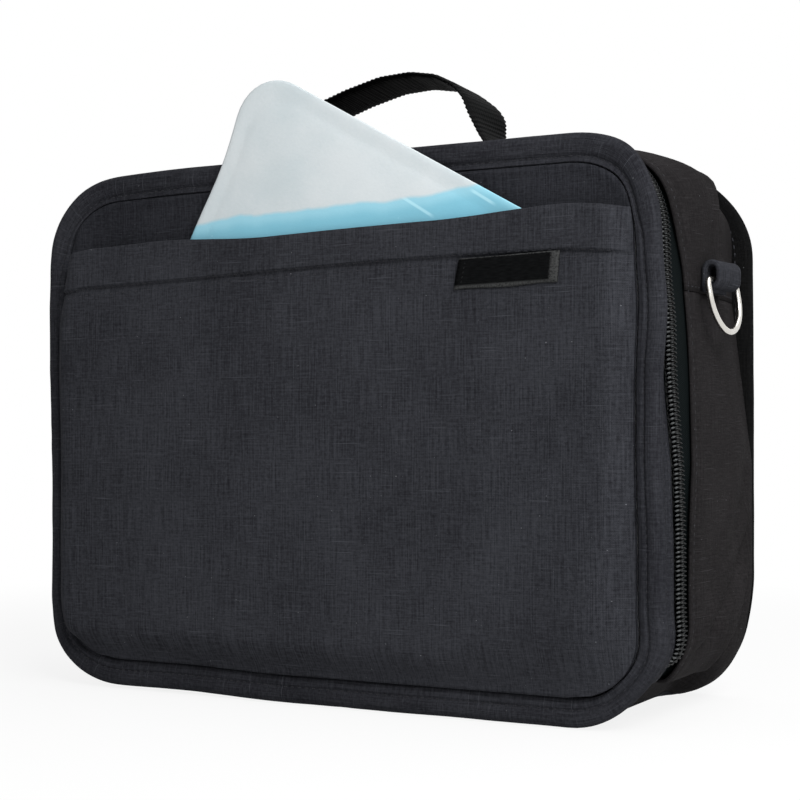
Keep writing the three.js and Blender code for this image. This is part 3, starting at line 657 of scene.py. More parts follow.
@dataclass
class Loft:
    """A closed body through like sections, each a ring of points.

    Its first half runs along one face and its second half back along the other, so that the
    ends close between matching points.
    """

    name: str
    sections: Floats
    finish: Finish
    loop: bool = False
    straight: bool = False
    size: tuple[float, float] = (0.0, 0.0)

    def build(self) -> Piece:
        """Makes the piece, and notes its cloth's width and length where none are given."""
        rings, sides, _ = self.sections.shape
        joined = np.concatenate([self.sections, self.sections[:1]]) if self.loop else self.sections
        along = lengths_along(joined.mean(1))
        middle = joined[len(joined) // 2]
        around = lengths_along(np.concatenate([middle, middle[:1]]))
        if not any(self.size):
            self.size = around[-1] / 2, along[-1]
        i, j = (a.ravel() for a in np.meshgrid(np.arange(len(joined) - 1), np.arange(sides), indexing="ij"))
        corners = [(i, j), (i + 1, j), (i + 1, j + 1), (i, j + 1)]
        quads = np.stack([(a % rings) * sides + b % sides for a, b in corners], 1)
        places = np.stack([np.stack([around[b], along[a]], 1) for a, b in corners], 1)
        if not self.loop:
            k = np.arange(sides // 2 - 1)
            cap = np.stack([k, k + 1, sides - 2 - k, sides - 1 - k], 1)
            for face, ring, at in ((cap, 0, 0.0), (cap[:, ::-1], rings - 1, along[-1])):
                quads = np.concatenate([quads, face + ring * sides])
                places = np.concatenate([places, np.stack([around[face], np.full(cap.shape, at)], 2)])
        made = piece_of(self.name, self.sections.reshape(-1, 3), quads, places * MM, self.finish)
        if self.straight:
            self.lay_straight(made.data)
        return made

    def span(self) -> tuple[float, float]:
        """Width and height of the whole body."""
        flat = self.sections.reshape(-1, 3)
        size = flat.max(0) - flat.min(0)
        return size[0], size[2]

    @staticmethod
    def lay_straight(mesh: bpy.types.Mesh) -> None:
        """Lays the cloth's threads straight up and across."""
        corner = np.zeros(len(mesh.loops), np.int32)
        mesh.loops.foreach_get("vertex_index", corner)
        points = np.array([v.co for v in mesh.vertices])[corner][:, [0, 2]]
        mesh.uv_layers[CLOTH_MAP].data.foreach_set("uv", points.astype(np.float32).ravel())


def rounded(outer: Floats, inner: Floats, turn: float = 0.3) -> Floats:
    """Sections of a sheet with softened edges from its two faces.

    Args:
        outer: the outer face's points, stations by depths.
        inner: the inner face's points.
        turn: how far the faces' edges are drawn in, as a share of the thickness.

    Returns:
        The sections, outer face first and the inner face back.
    """

    def drawn_in(face: Floats) -> Floats:
        """One face with its edge rows moved in, and its rows kept in order."""
        face = face.copy()
        for edge, inside in ((0, 1), (-1, -2)):
            way = face[:, inside] - face[:, edge]
            size = np.linalg.norm(way, axis=-1, keepdims=True)
            thick = np.linalg.norm(outer[:, edge] - inner[:, edge], axis=-1, keepdims=True)
            face[:, edge] += way * np.minimum(turn * thick / np.maximum(size, 1e-6), 0.4)
        return face

    middle = (outer + inner) / 2
    return np.concatenate([drawn_in(outer), middle[:, -1:], drawn_in(inner)[:, ::-1], middle[:, :1]], 1)


def stand(made: Piece, body: str, node: str) -> None:
    """Says which body a piece rides on, and hides the solid that it stands for."""
    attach(made, body)
    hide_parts(node)


def declare(made: Piece, loft: Loft) -> None:
    """Reads the areas of a lofted sheet's faces, and logs its name.

    Args:
        made: the sheet.
        loft: the loft that it was made by.
    """
    areas = np.zeros(len(made.data.polygons))
    made.data.polygons.foreach_get("area", areas)
    log.info("%s", loft.name)


def lay(
    loft: Loft, body: str, node: str
) -> None:
    """Builds a sheet, attaches it to its body, hides the solid that it stands for and logs its name.

    Args:
        loft: the sheet's loft.
        body: the body that it rides on.
        node: the solid that it stands for.
    """
    made = loft.build()
    stand(made, body, node)
    declare(made, loft)


def pad(loft: Loft, body: str, node: str) -> None:
    """Builds a padded piece, attaches it to its body, hides the solid that it stands for and logs its name.

    Args:
        loft: the piece's loft.
        body: the body that it rides on.
        node: the solid that it stands for.
    """
    made = loft.build()
    stand(made, body, node)
    log.info("%s", loft.name)


def rest_bench() -> None:
    """Leaves edit mode and deselects everything."""
    if bpy.context.object and bpy.context.object.mode != "OBJECT":
        bpy.ops.object.mode_set(mode="OBJECT")
    bpy.ops.object.select_all(action="DESELECT")


@dataclass
class Sewing:
    """One stitch of thread, modelled once and copied along every seam."""

    length: float = 2.3
    radius: float = 0.28
    pitch: float = 3.2
    sink: float = 0.12
    pattern: Floats = field(default_factory=lambda: np.zeros((0, 3)))
    quads: Floats = field(default_factory=lambda: np.zeros((0, 4), int))

    def model(self) -> None:
        """Models the stitch: a short round bar whose ends dive into the cloth."""
        rest_bench()
        bpy.ops.mesh.primitive_cylinder_add(
            vertices=6, radius=self.radius * MM, depth=self.length * MM, end_fill_type="NOTHING"
        )
        bar = bpy.context.object
        mesh = bar.data
        for group in (mesh.vertices, mesh.edges, mesh.polygons):
            group.foreach_set("select", [False] * len(group))
        for edge in mesh.edges:
            low, high = sorted(mesh.vertices[v].co.z for v in edge.vertices)
            edge.select = high - low > MM * MM
        bpy.ops.object.mode_set(mode="EDIT")
        bpy.ops.mesh.select_mode(type="EDGE")
        bpy.ops.mesh.subdivide(number_cuts=3)
        bpy.ops.object.mode_set(mode="OBJECT")
        points = points_of(bar)
        share = points[:, 2] / (self.length / 2)
        points[:, :2] *= np.sqrt(np.clip(1 - 0.9 * share**6, 0, 1))[:, None]
        points[:, 0] -= self.radius * 1.2 * share**4
        self.pattern = points
        self.quads = np.array([list(p.vertices) for p in mesh.polygons if len(p.vertices) == 4])
        bpy.data.objects.remove(bar)

    def seam(
        self,
        name: str,
        line: Floats,
        outward: Floats,
        body: str,
        closed: bool = False,
        finish: Finish = Finish.THREAD,
        size: float = 1.0,
    ) -> None:
        """Sews a row of stitches.

        Args:
            name: the piece's name.
            line: the seam's points in millimetres.
            outward: the cloth's outward direction, one for all or one a point.
            body: the body that the seam rides on.
            closed: whether the seam comes back to its start.
            finish: the thread's finish.
            size: how large the stitches are, as a share of the usual.
        """
        spots, ways = even_places(line, self.pitch * size, closed)
        if outward.ndim == 2:
            out = outward[[int(np.argmin(np.linalg.norm(line - p, axis=1))) for p in spots]]
        else:
            out = np.broadcast_to(outward, spots.shape)
        out = unit(out - (out * ways).sum(1, keepdims=True) * ways)
        axes = (out, np.cross(ways, out), ways)
        points, quads = copies(self.pattern * size, self.quads, spots - out * self.sink, axes)
        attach(piece_of(name, points, quads, None, finish), body)


# The case's form


class Route(NamedTuple):
    """Stations along the case's outline: an anchor and the way from it to the edge."""

    ax: Floats
    az: Floats
    ux: Floats
    uz: Floats

    def __add__(self, other: "Route") -> "Route":
        """The two routes in a row, with a shared station kept once."""
        return Route(*(np.concatenate([a, b[1:]]) for a, b in zip(self, other)))

    def opened(self) -> "Route":
        """The route without its last station, which meets the first."""
        return Route(*(column[:-1] for column in self))

    def corner_share(self) -> Floats:
        """1 at the middle of a corner and 0 on the straight runs."""
        return 4 * (self.ux * self.uz / (self.ux**2 + self.uz**2)) ** 2

    def outward(self) -> Floats:
        """The way out of the case at each station."""
        return np.stack([self.ux, 0 * self.ux, self.uz], 1)


@dataclass(frozen=True)
class CaseForm:
    """The sizes and the outline that all of the case's layers share."""

    width: float = 280.0
    height: float = 216.0
    depth: float = 105.0
    radius: float = 40.0
    power: float = 2.3
    clearance: float = 0.3
    rim_width: float = 11.0
    rim_thickness: float = 5.2
    shell: float = 1.5
    root_inset: float = 10.0
    belly_high: float = 2.6
    belly_low: float = -1.5
    top_belly: float = 1.0
    corner_fullness: float = 5.0
    root_side: float = 8.0
    channel: float = 1.2
    foot_tuck: float = 3.2
    slump_length: float = 64.0
    seam_drop: float = 57.0
    zip_depth: float = 17.5
    hem_depth: float = 30.5
    corner_steps: int = 26
    zip_end_share: float = 5 / 6

    @property
    def straight_x(self) -> float:
        """Half the length of the top's straight run."""
        return self.width / 2 - self.radius

    @property
    def high_z(self) -> float:
        """Where the sides' straight run ends."""
        return self.height - self.radius

    @property
    def half_depth(self) -> float:
        """Half the depth over the rims."""
        return self.depth / 2

    @property
    def gusset_end(self) -> float:
        """Where the gusset meets the back rim."""
        return self.half_depth - self.rim_thickness - self.clearance

    @property
    def seam_z(self) -> float:
        """Height of the seam across the gusset."""
        return self.height - self.seam_drop

    @property
    def zip_y(self) -> float:
        """Depth of the zip's middle."""
        return self.zip_depth - self.half_depth

    @property
    def hem_y(self) -> float:
        """Depth of the gusset's front hem."""
        return self.hem_depth - self.half_depth

    @property
    def panel_inset(self) -> float:
        """How far inside the outline the front and the back panel end."""
        return self.rim_width + self.clearance

    def corner(self, side: int, level: int, start: float, end: float) -> Route:
        """A run round a corner.

        Args:
            side: 1 right, -1 left.
            level: 1 top, -1 bottom.
            start: the share of the quarter turn where it starts, 0 on the side.
            end: the share where it ends, 1 on the top or bottom.

        Returns:
            The run.
        """
        count = max(int(round(abs(end - start) * self.corner_steps)), 2)
        angle = np.linspace(start, end, count + 1) * math.pi / 2
        across, up = (np.clip(part(angle), 0, 1) ** (2 / self.power) for part in (np.cos, np.sin))
        az = self.high_z if level > 0 else self.radius
        ones = np.ones(count + 1)
        return Route(side * self.straight_x * ones, az * ones, side * across, level * up)

    @staticmethod
    def run(start: tuple[float, float], end: tuple[float, float], ux: float, uz: float) -> Route:
        """A straight run between two anchors, with a station every few millimetres."""
        count = max(int(round(math.dist(start, end) / STATION_PITCH)), 2)
        t, ones = np.linspace(0, 1, count + 1), np.ones(count + 1)
        x, z = (a + (b - a) * t for a, b in zip(start, end))
        return Route(x, z, ux * ones, uz * ones)

    def side_run(self, side: int, start: float, end: float) -> Route:
        """A run up or down a side."""
        x = side * self.straight_x
        return self.run((x, start), (x, end), side, 0)

    def level_run(self, level: int, start: float, end: float) -> Route:
        """A run along the top, 1, or the bottom, -1."""
        z = self.high_z if level > 0 else self.radius
        return self.run((start, z), (end, z), 0, level)

    def over_top(self, start: float) -> Route:
        """From a height on the right side over the top and down to it on the left."""
        return (
            self.side_run(1, start, self.high_z)
            + self.corner(1, 1, 0, 1)
            + self.level_run(1, self.straight_x, -self.straight_x)
            + self.corner(-1, 1, 1, 0)
            + self.side_run(-1, self.high_z, start)
        )

    def whole(self) -> Route:
        """Round the whole outline from the middle of the bottom, up the right side first."""
        right = self.level_run(-1, 0, self.straight_x) + self.corner(1, -1, 1, 0)
        left = self.corner(-1, -1, 0, 1) + self.level_run(-1, -self.straight_x, 0)
        return (right + self.over_top(self.radius) + left).opened()

    def zip_route(self) -> Route:
        """From one bottom corner over the top to the other."""
        end = self.zip_end_share
        return self.corner(1, -1, end, 0) + self.over_top(self.radius) + self.corner(-1, -1, 0, end)

    def height_at(self, route: Route) -> Floats:
        """The outline's height at each station."""
        return route.az + self.radius * route.uz

    def edge(self, route: Route, inset: Floats | float, y: Floats | float) -> Floats:
        """Points a way in from the outline, at a depth."""
        reach = self.radius - np.asarray(inset, float)
        x, z = route.ax + reach * route.ux, route.az + reach * route.uz
        return np.stack([x, np.broadcast_to(y, x.shape), z], -1)

    def disc(self, inset: float, shares: Floats) -> Floats:
        """Points all over the outline's inside, stations by shares of the way from its middle."""
        middle = np.array([0.0, 0.0, self.height / 2])
        border = self.edge(self.whole(), inset, 0.0)
        return middle + (border - middle)[:, None] * shares[None, :, None]

    def gusset_inset(self, route: Route, y: float) -> Floats:
        """How far the gusset's face lies inside the outline, station by station."""
        slump_z = self.seam_z - self.slump_length
        rise = np.clip((self.height_at(route) - slump_z) / self.slump_length, 0, 1)
        side = route.ux**2 / (route.ux**2 + route.uz**2)
        upward, down = (np.where(level * route.uz > 0, 1 - side, 0) for level in (1, -1))
        root = side * self.root_side * rise + upward * self.root_inset
        belly = side * (self.belly_low + (self.belly_high - self.belly_low) * rise) + upward * self.top_belly
        full = 6.75 * side**2 * upward * self.corner_fullness * ramp(y, -34, 8) * (1 - 0.6 * ramp(y, 5, 40))
        crest = 0.5 * bell(y - self.hem_y - 2.8, 1.1)
        sunk = self.channel * (1 - rise) * smooth(side * 6) * ramp(y, -23, -30)
        deeper = (6.0 + 3.0 * ramp(y, -8, -28)) * ramp(down, 0.36, 0.61)
        tuck = 4 * side * down * (self.foot_tuck + deeper) * ramp(y, 40, 24)
        share = min(abs(y) / self.gusset_end, 1.0) ** (2 - 0.7 * rise * (y > 0))
        return belly + (root - belly) * share - (full - crest) + sunk + tuck

    def gusset(self, route: Route, depths: Sequence[float], offset: float) -> Floats:
        """The gusset's face or a layer under it, stations by depths."""
        return np.stack([self.edge(route, self.gusset_inset(route, y) + offset, y) for y in depths], 1)


def settle(points: Floats) -> Floats:
    """The lean and droop of the real, soft case, alike in every layer.

    Args:
        points: places in millimetres.

    Returns:
        The places where the layers really lie.
    """
    x, y, z = points[..., 0], points[..., 1], points[..., 2]
    front, edge = ramp(y, -18, -46), ramp(x, 118, 138)
    waist = 1.9 * bell(z - 150, 16.0)
    lean = -edge * (2.8 * ramp(z, 22, 44) + 1.2 * ramp(z, 60, 104) - 0.9 * ramp(z, 196, 212) - waist)
    lean = lean + 1.8 * ramp(x, -112, -138) * ramp(z, 14, 32) * (1 - ramp(z, 86, 136))
    heel = 1.8 * ramp(z, 50, 30) * edge * ramp(y, 10, 40)
    droop = -1.3 * ramp(x, -60, -130) * ramp(z, 150, 205)
    toe = 1.3 * ramp(x, -20, -70) * ramp(z, 50, 10)
    return np.stack([x + (lean * front - heel), y, z + (droop + toe) * front], -1)


@dataclass(frozen=True)
class Crease:
    """A fold in a side wall: a ridge with a hollow on its lower, rear side."""

    start: tuple[float, float]
    end: tuple[float, float]
    ridge: float
    hollow: float
    width: float

    def lift(self, y: Floats, z: Floats) -> Floats:
        """How far the fold moves the cloth outwards at a depth and height."""
        way = np.array(self.end) - np.array(self.start)
        size = np.hypot(*way)
        way = way / size
        from_y, from_z = y - self.start[0], z - self.start[1]
        along = from_y * way[0] + from_z * way[1]
        across = -from_y * way[1] + from_z * way[0]
        within = ramp(along, -6, 8) * smooth((size + 6 - along) / 14)
        dip = bell(across - self.width * 1.5, self.width * 1.1) * self.hollow
        return within * (bell(across, self.width) * self.ridge - dip)


FOLDS = (
    Crease((45.0, 77.5), (-15.6, 34.7), 2.4, 5.0, 4.6),
    Crease((2.6, 35.9), (-22.7, 28.8), 1.2, 2.2, 3.6),
    Crease((40.0, 58.0), (10.0, 12.0), 1.8, 3.0, 5.0),
    Crease((38.7, 112.0), (6.8, 64.7), 0.9, 0.9, 7.0),
    Crease((7.0, 214.0), (11.0, 152.0), 2.0, 3.0, 5.0),
    Crease((-24.0, 216.0), (10.0, 200.0), 1.0, 0.8, 3.2),
)


def crumple(points: Floats, side: int) -> Floats:
    """The folds and slack of a side wall's cloth.

    Args:
        points: places on the wall in millimetres.
        side: 1 right, -1 left, where the folds lie higher.

    Returns:
        The moved places.
    """
    x, y, z = np.abs(points[..., 0]), points[..., 1], points[..., 2]
    on_wall = ramp(x, 96, 120) * ramp(y, -27, -15) * ramp(y, 46, 34)
    higher = 9.0 if side < 0 else 0.0
    lift = sum(fold.lift(y, z - higher) for fold in FOLDS) * ramp(z, 4, 18)
    lift = (lift + 0.5 * wander(points, 26.0, 3.1 * side + 7.0)) * on_wall
    out_x = np.maximum(x - 100, 0.1)
    out_z = np.maximum(z - 176, 0) - np.maximum(40 - z, 0)
    lift = lift / np.hypot(out_x, out_z)
    return points + np.stack([side * lift * out_x, 0 * y, lift * out_z], -1)


def crumpled(face: Floats) -> Floats:
    """A layer of the gusset with the folds of both side walls."""
    for _, side in SIDES:
        face = np.where(face[..., :1] * side > 0, crumple(face, side), face)
    return face


def spaced(start: float, end: float, count: int) -> Floats:
    """Depths from one to the other, closer together near both edges."""
    t = np.linspace(0, 1, count)
    return start + (end - start) * (t + 0.35 * (smooth(t) - t))


FORM = CaseForm()


@dataclass
class Rim:
    """The bound, padded edge round the front or the back."""

    name: str
    node: str
    body: str
    toward: int
    form: CaseForm
    sewing: Sewing
    finish: Finish
    stitch_inset: float = 6.7
    top_stitch_inset: float = 8.8
    fold: float = 3.4
    groove: float = 1.0
    overlap: float = 0.2

    @property
    def width(self) -> float:
        """The rim's width, which laps a little over the panel."""
        return self.form.rim_width + self.overlap

    def profile(self, route: Route) -> tuple[Floats, Floats]:
        """The section at each station, which is flatter along the top.

        Args:
            route: the rim's stations.

        Returns:
            Its points' insets from the outline, and their depths from the rim's face.
        """
        w, r = self.width, self.fold
        top = ramp(self.form.height_at(route), 172, 190)[:, None]
        stitch = self.stitch_inset + (self.top_stitch_inset - self.stitch_inset) * top
        flat = route.corner_share() * (route.ux > 0) * (route.uz < 0)
        top = np.maximum(top, flat[:, None])
        lip = 1.7 - 1.2 * top
        before = r + (stitch - r) * np.array([0.15, 0.45, 0.68, 0.82, 0.91, 1.0])
        after = stitch + (w - lip - stitch) * np.array([0.12, 0.3, 0.6, 1.0])
        face = np.concatenate([before, after], 1)
        sunk = 1.3 * smooth((face - w + 4.2) / 4) * (1 - top) - 0.3 * bell(face - 5.2, 0.8) * top
        depth = 0.3 * ((face - 5.2) / 5) ** 2 + self.groove * bell(face - stitch, 0.8) + sunk
        turn = np.linspace(0, math.pi / 2, 7)
        outer = np.stack(np.broadcast_arrays(r - r * np.cos(turn), r - r * np.sin(turn) + 0 * top))
        inner_in = w - lip + lip * np.sin(turn)
        inner_deep = depth[:, -1:] + (2.6 - depth[:, -1:]) * (1 - np.cos(turn))
        front_in = np.concatenate([outer[0], face, inner_in], 1)
        front_deep = np.concatenate([outer[1], depth, inner_deep], 1)
        back = np.linspace(w, 0.0, front_in.shape[1]) + 0 * top
        bulge = self.form.rim_thickness - 0.9 * np.abs(2 * back / w - 1) ** 4
        return np.concatenate([front_in, back], 1), np.concatenate([front_deep, bulge], 1)

    def corner_cut(self, route: Route) -> Floats:
        """How far each corner is pulled in: the lower right one most, and the back's upper right."""
        is_front = self.toward > 0
        upper, lower = (0.0, 3.4) if is_front else (2.6, 1.0)
        return np.where(route.ux > 0, np.where(route.uz < 0, lower, upper), 0.0)

    def build(self) -> None:
        """Lofts the rim and sews it."""
        form, route = self.form, self.form.whole()
        face_y = -self.toward * form.half_depth
        inset, depth = self.profile(route)
        places = zip(inset.T, depth.T)
        sections = np.stack([form.edge(route, a, face_y + self.toward * b) for a, b in places], 1)
        middle = sections.mean(1)
        corner = route.corner_share()
        lap = bell(route.ax - 6.5, 0.9) * (route.uz < 0)
        inward = (0.25 * wander(middle, 30.0, 1.7 + self.toward) + 0.5 * lap)[:, None]
        inward = inward + (corner * self.corner_cut(route))[:, None] * (1 - inset / self.width).clip(0, 1)
        sections[..., 0] -= inward * route.ux[:, None]
        sections[..., 2] -= inward * route.uz[:, None]
        ripple = (0.3 + 0.25 * corner) * wander(middle, 17.0, 4.2) + 0.5 * lap
        pucker = 0.22 * wander(sections, 7.0, 8.8)
        sections[..., 1] += self.toward * (ripple[:, None] + pucker)
        sections = settle(sections)
        pad(Loft(self.name, sections, self.finish, loop=True), self.body, self.node)
        for side, column, way in (("outer", 12, -1.0), ("inner", -15, 1.0)):
            out = way * self.toward * BACKWARD
            line = sections[:, column] + out * 0.1
            self.sewing.seam(f"{self.name}_{side}_stitches", line, out, self.body, closed=True)


@dataclass
class Shell:
    """The gusset's cloth, the bottom and the strip on the lid's side of the zip."""

    form: CaseForm
    sewing: Sewing
    gap: float = 0.15
    strip_gap: float = 4.2
    strip_stitch: float = 6.2
    hem_stitch: float = 2.2

    def hem_forward(self, face: Floats) -> Floats:
        """The gusset's cloth, whose front hem comes closer to the zip over the top and low down."""
        f, y, z = self.form, face[..., 1], face[..., 2]
        ahead = 8.8 * ramp(z, 158, 192) + 8.0 * ramp(z, 150, 50)
        return moved(face, y - ahead * (f.gusset_end - y) / (f.gusset_end - f.hem_y))

    def band(self, name: str, route: Route, depths: Sequence[float], finish: Finish) -> Loft:
        """A band of the gusset's outer cloth.

        Args:
            name: the piece's name.
            route: its stations.
            depths: its depths from front to back.
            finish: its finish, where the gusset's says that it has the front hem.

        Returns:
            The loft, ready to build.
        """
        faces = [self.form.gusset(route, depths, offset) for offset in (0.0, self.form.shell)]
        if finish is Finish.GUSSET:
            faces = [self.hem_forward(face) for face in faces]
        return Loft(name, rounded(*(settle(crumpled(face)) for face in faces)), finish)

    def build(self) -> None:
        """Builds the gusset's pieces."""
        f, gap = self.form, self.gap
        main = spaced(f.hem_y, f.gusset_end, 34)
        loft = self.band("gusset_top_cloth", f.over_top(f.seam_z + gap), main, Finish.GUSSET)
        lay(loft, "case", "gusset_top")
        for name, side in SIDES:
            route = f.corner(side, -1, f.zip_end_share, 0) + f.side_run(side, f.radius, f.seam_z - gap)
            loft = self.band(f"gusset_side_{name}_cloth", route, main, Finish.GUSSET)
            lay(loft, "case", f"gusset_side_{name}")
        self.build_bottom()
        strip = spaced(-f.gusset_end, f.zip_y - self.strip_gap, 9)
        loft = self.band("lid_strip_cloth", f.zip_route(), strip, Finish.BINDING)
        lay(loft, "lid", "lid_strip")
        self.sew(main)

    def build_bottom(self) -> None:
        """Builds the bottom, whose ends turn up into the corners."""
        f, end = self.form, self.form.zip_end_share + 0.004
        route = f.corner(-1, -1, end, 1) + f.level_run(-1, -f.straight_x, f.straight_x)
        route = route + f.corner(1, -1, 1, end)
        depths = spaced(-f.half_depth + f.rim_thickness + f.clearance * 3 + f.shell, f.gusset_end, 30)
        faces = [settle(f.gusset(route, depths, offset)) for offset in (0.0, f.shell)]
        loft = Loft("bottom_panel_cloth", rounded(*faces), Finish.SHELL)
        lay(loft, "case", "bottom_panel")

    def sew(self, depths: Floats) -> None:
        """Sews the gusset's front hem, the lid strip and the seams across the gusset."""
        f = self.form
        route = f.zip_route()
        hem = self.hem_forward(f.gusset(route, [f.hem_y + self.hem_stitch], 0.0)[:, 0])
        strip = f.gusset(route, [f.zip_y - self.strip_stitch], 0.0)[:, 0]
        for name, line, body in (("hem", hem, "case"), ("lid_strip", strip, "lid")):
            self.sewing.seam(f"{name}_stitches", settle(crumpled(line)), route.outward(), body)
        for name, side in SIDES:
            level = f.side_run(side, f.seam_z + 2.0, f.seam_z + 2.3)
            line = settle(crumple(f.gusset(level, depths, 0.0)[0], side))
            self.sewing.seam(f"seam_{name}_stitches", line, np.array([side, 0.0, 0.0]), "case")


@dataclass
class Zip:
    """Both tapes and both nylon coils."""

    form: CaseForm
    pitch: float = 1.65
    wire: float = 0.42
    loop_width: float = 2.35
    loop_height: float = 0.85
    loop_steps: int = 12
    centre_split: float = 1.55
    proud: float = 0.35
    join_within: float = 0.12
    tape: float = 0.6
    tape_gap: float = 1.0
    tape_reach: float = 8.0

    def build(self) -> None:
        """Builds the tapes and the coils."""
        f = self.form
        offset = f.shell + f.clearance
        for name, start, end, body, under in (
            ("lid", -f.gusset_end, f.zip_y - self.tape_gap, "lid", "lid_strip_cloth"),
            ("body", f.zip_y + self.tape_gap, f.hem_y + self.tape_reach, "case", "gusset_top_cloth"),
        ):
            depths, offsets = spaced(start, end, 8), (offset, offset + self.tape)
            faces = [settle(crumpled(f.gusset(f.zip_route(), depths, at))) for at in offsets]
            loft = Loft(f"tape_{name}", rounded(*faces), Finish.TAPE)
            lay(loft, body, f"zip_tape_{name}")
        pattern, quads = self.loop()
        self.coil("lid", "lid", -1, 0.0, pattern, quads)
        self.coil("body", "case", 1, 0.5, pattern, quads)

    def loop(self) -> tuple[Floats, Floats]:
        """One turn of a coil, from a ring swept by a Screw modifier and pressed flat.

        Returns:
            Its points, with the way along the zip as Z, the tape's plane across as X and
            outwards as Y, and its quads.
        """
        rest_bench()
        place, upright = (self.loop_height * MM, 0, 0), (math.pi / 2, 0, 0)
        bpy.ops.mesh.primitive_circle_add(vertices=4, radius=self.wire * MM, location=place, rotation=upright)
        bpy.ops.object.transform_apply(location=True, rotation=True, scale=True)
        ring = bpy.context.object
        screw = ring.modifiers.new("screw", "SCREW")
        screw.steps = screw.render_steps = self.loop_steps
        screw.angle, screw.screw_offset = 2 * math.pi, self.pitch * MM
        screw.axis, screw.use_merge_vertices = "Z", False
        bpy.ops.object.modifier_apply(modifier=screw.name)
        points = points_of(ring)
        quads = np.array([list(p.vertices) for p in ring.data.polygons])
        bpy.data.objects.remove(ring)
        share = np.clip(np.abs(points[:, 0]) / self.loop_height, 0, 1)
        points[:, 0] *= 1 + (self.loop_width / self.loop_height - 1) * share
        return points, quads

    def coil(self, name: str, body: str, side: int, shift: float, pattern: Floats, quads: Floats) -> None:
        """Copies the loop along the zip, and joins its turns.

        Args:
            name: lid or body.
            body: the body that it rides on.
            side: -1 for the lid's coil, 1 for the body's.
            shift: how far the coil is ahead, in pitches.
            pattern: the loop's points.
            quads: the loop's quads.
        """
        f = self.form
        route = f.zip_route()
        sunk = 4.5 * ramp(f.height_at(route), 27, 15) - self.proud
        line = settle(crumpled(f.gusset(route, [f.zip_y], sunk)[:, 0]))
        spots, ways = even_places(line, self.pitch)
        along = lengths_along(line)
        goals = (np.arange(len(spots)) + 0.5) * along[-1] / len(spots)
        out = at_lengths(unit(route.outward()), along, goals)
        out = unit(out - (out * ways).sum(1, keepdims=True) * ways)
        across = np.broadcast_to(BACKWARD * side, spots.shape)
        centre = spots + across * self.centre_split + ways * (shift - 0.5) * self.pitch
        points, faces = copies(pattern, quads, centre, (across, out, ways))
        # Each point's share of the way to its turn's crest, where the coil's finish paints a highlight.
        crest = np.abs(pattern[:, 0]) / self.loop_width
        places = np.stack([crest, pattern[:, 1] / self.loop_height], 1)[quads]
        places = np.broadcast_to(places, (len(spots), *places.shape)).reshape(-1, 4, 2)
        made = piece_of(f"coil_{name}", points, faces, places, Finish.COIL)
        rest_bench()
        made.select_set(True)
        bpy.context.view_layer.objects.active = made
        bpy.ops.object.mode_set(mode="EDIT")
        bpy.ops.mesh.select_all(action="SELECT")
        bpy.ops.mesh.remove_doubles(threshold=self.join_within * MM)
        bpy.ops.object.mode_set(mode="OBJECT")
        stand(made, body, f"zip_coil_{name}")
        log.info("coil_%s", name)


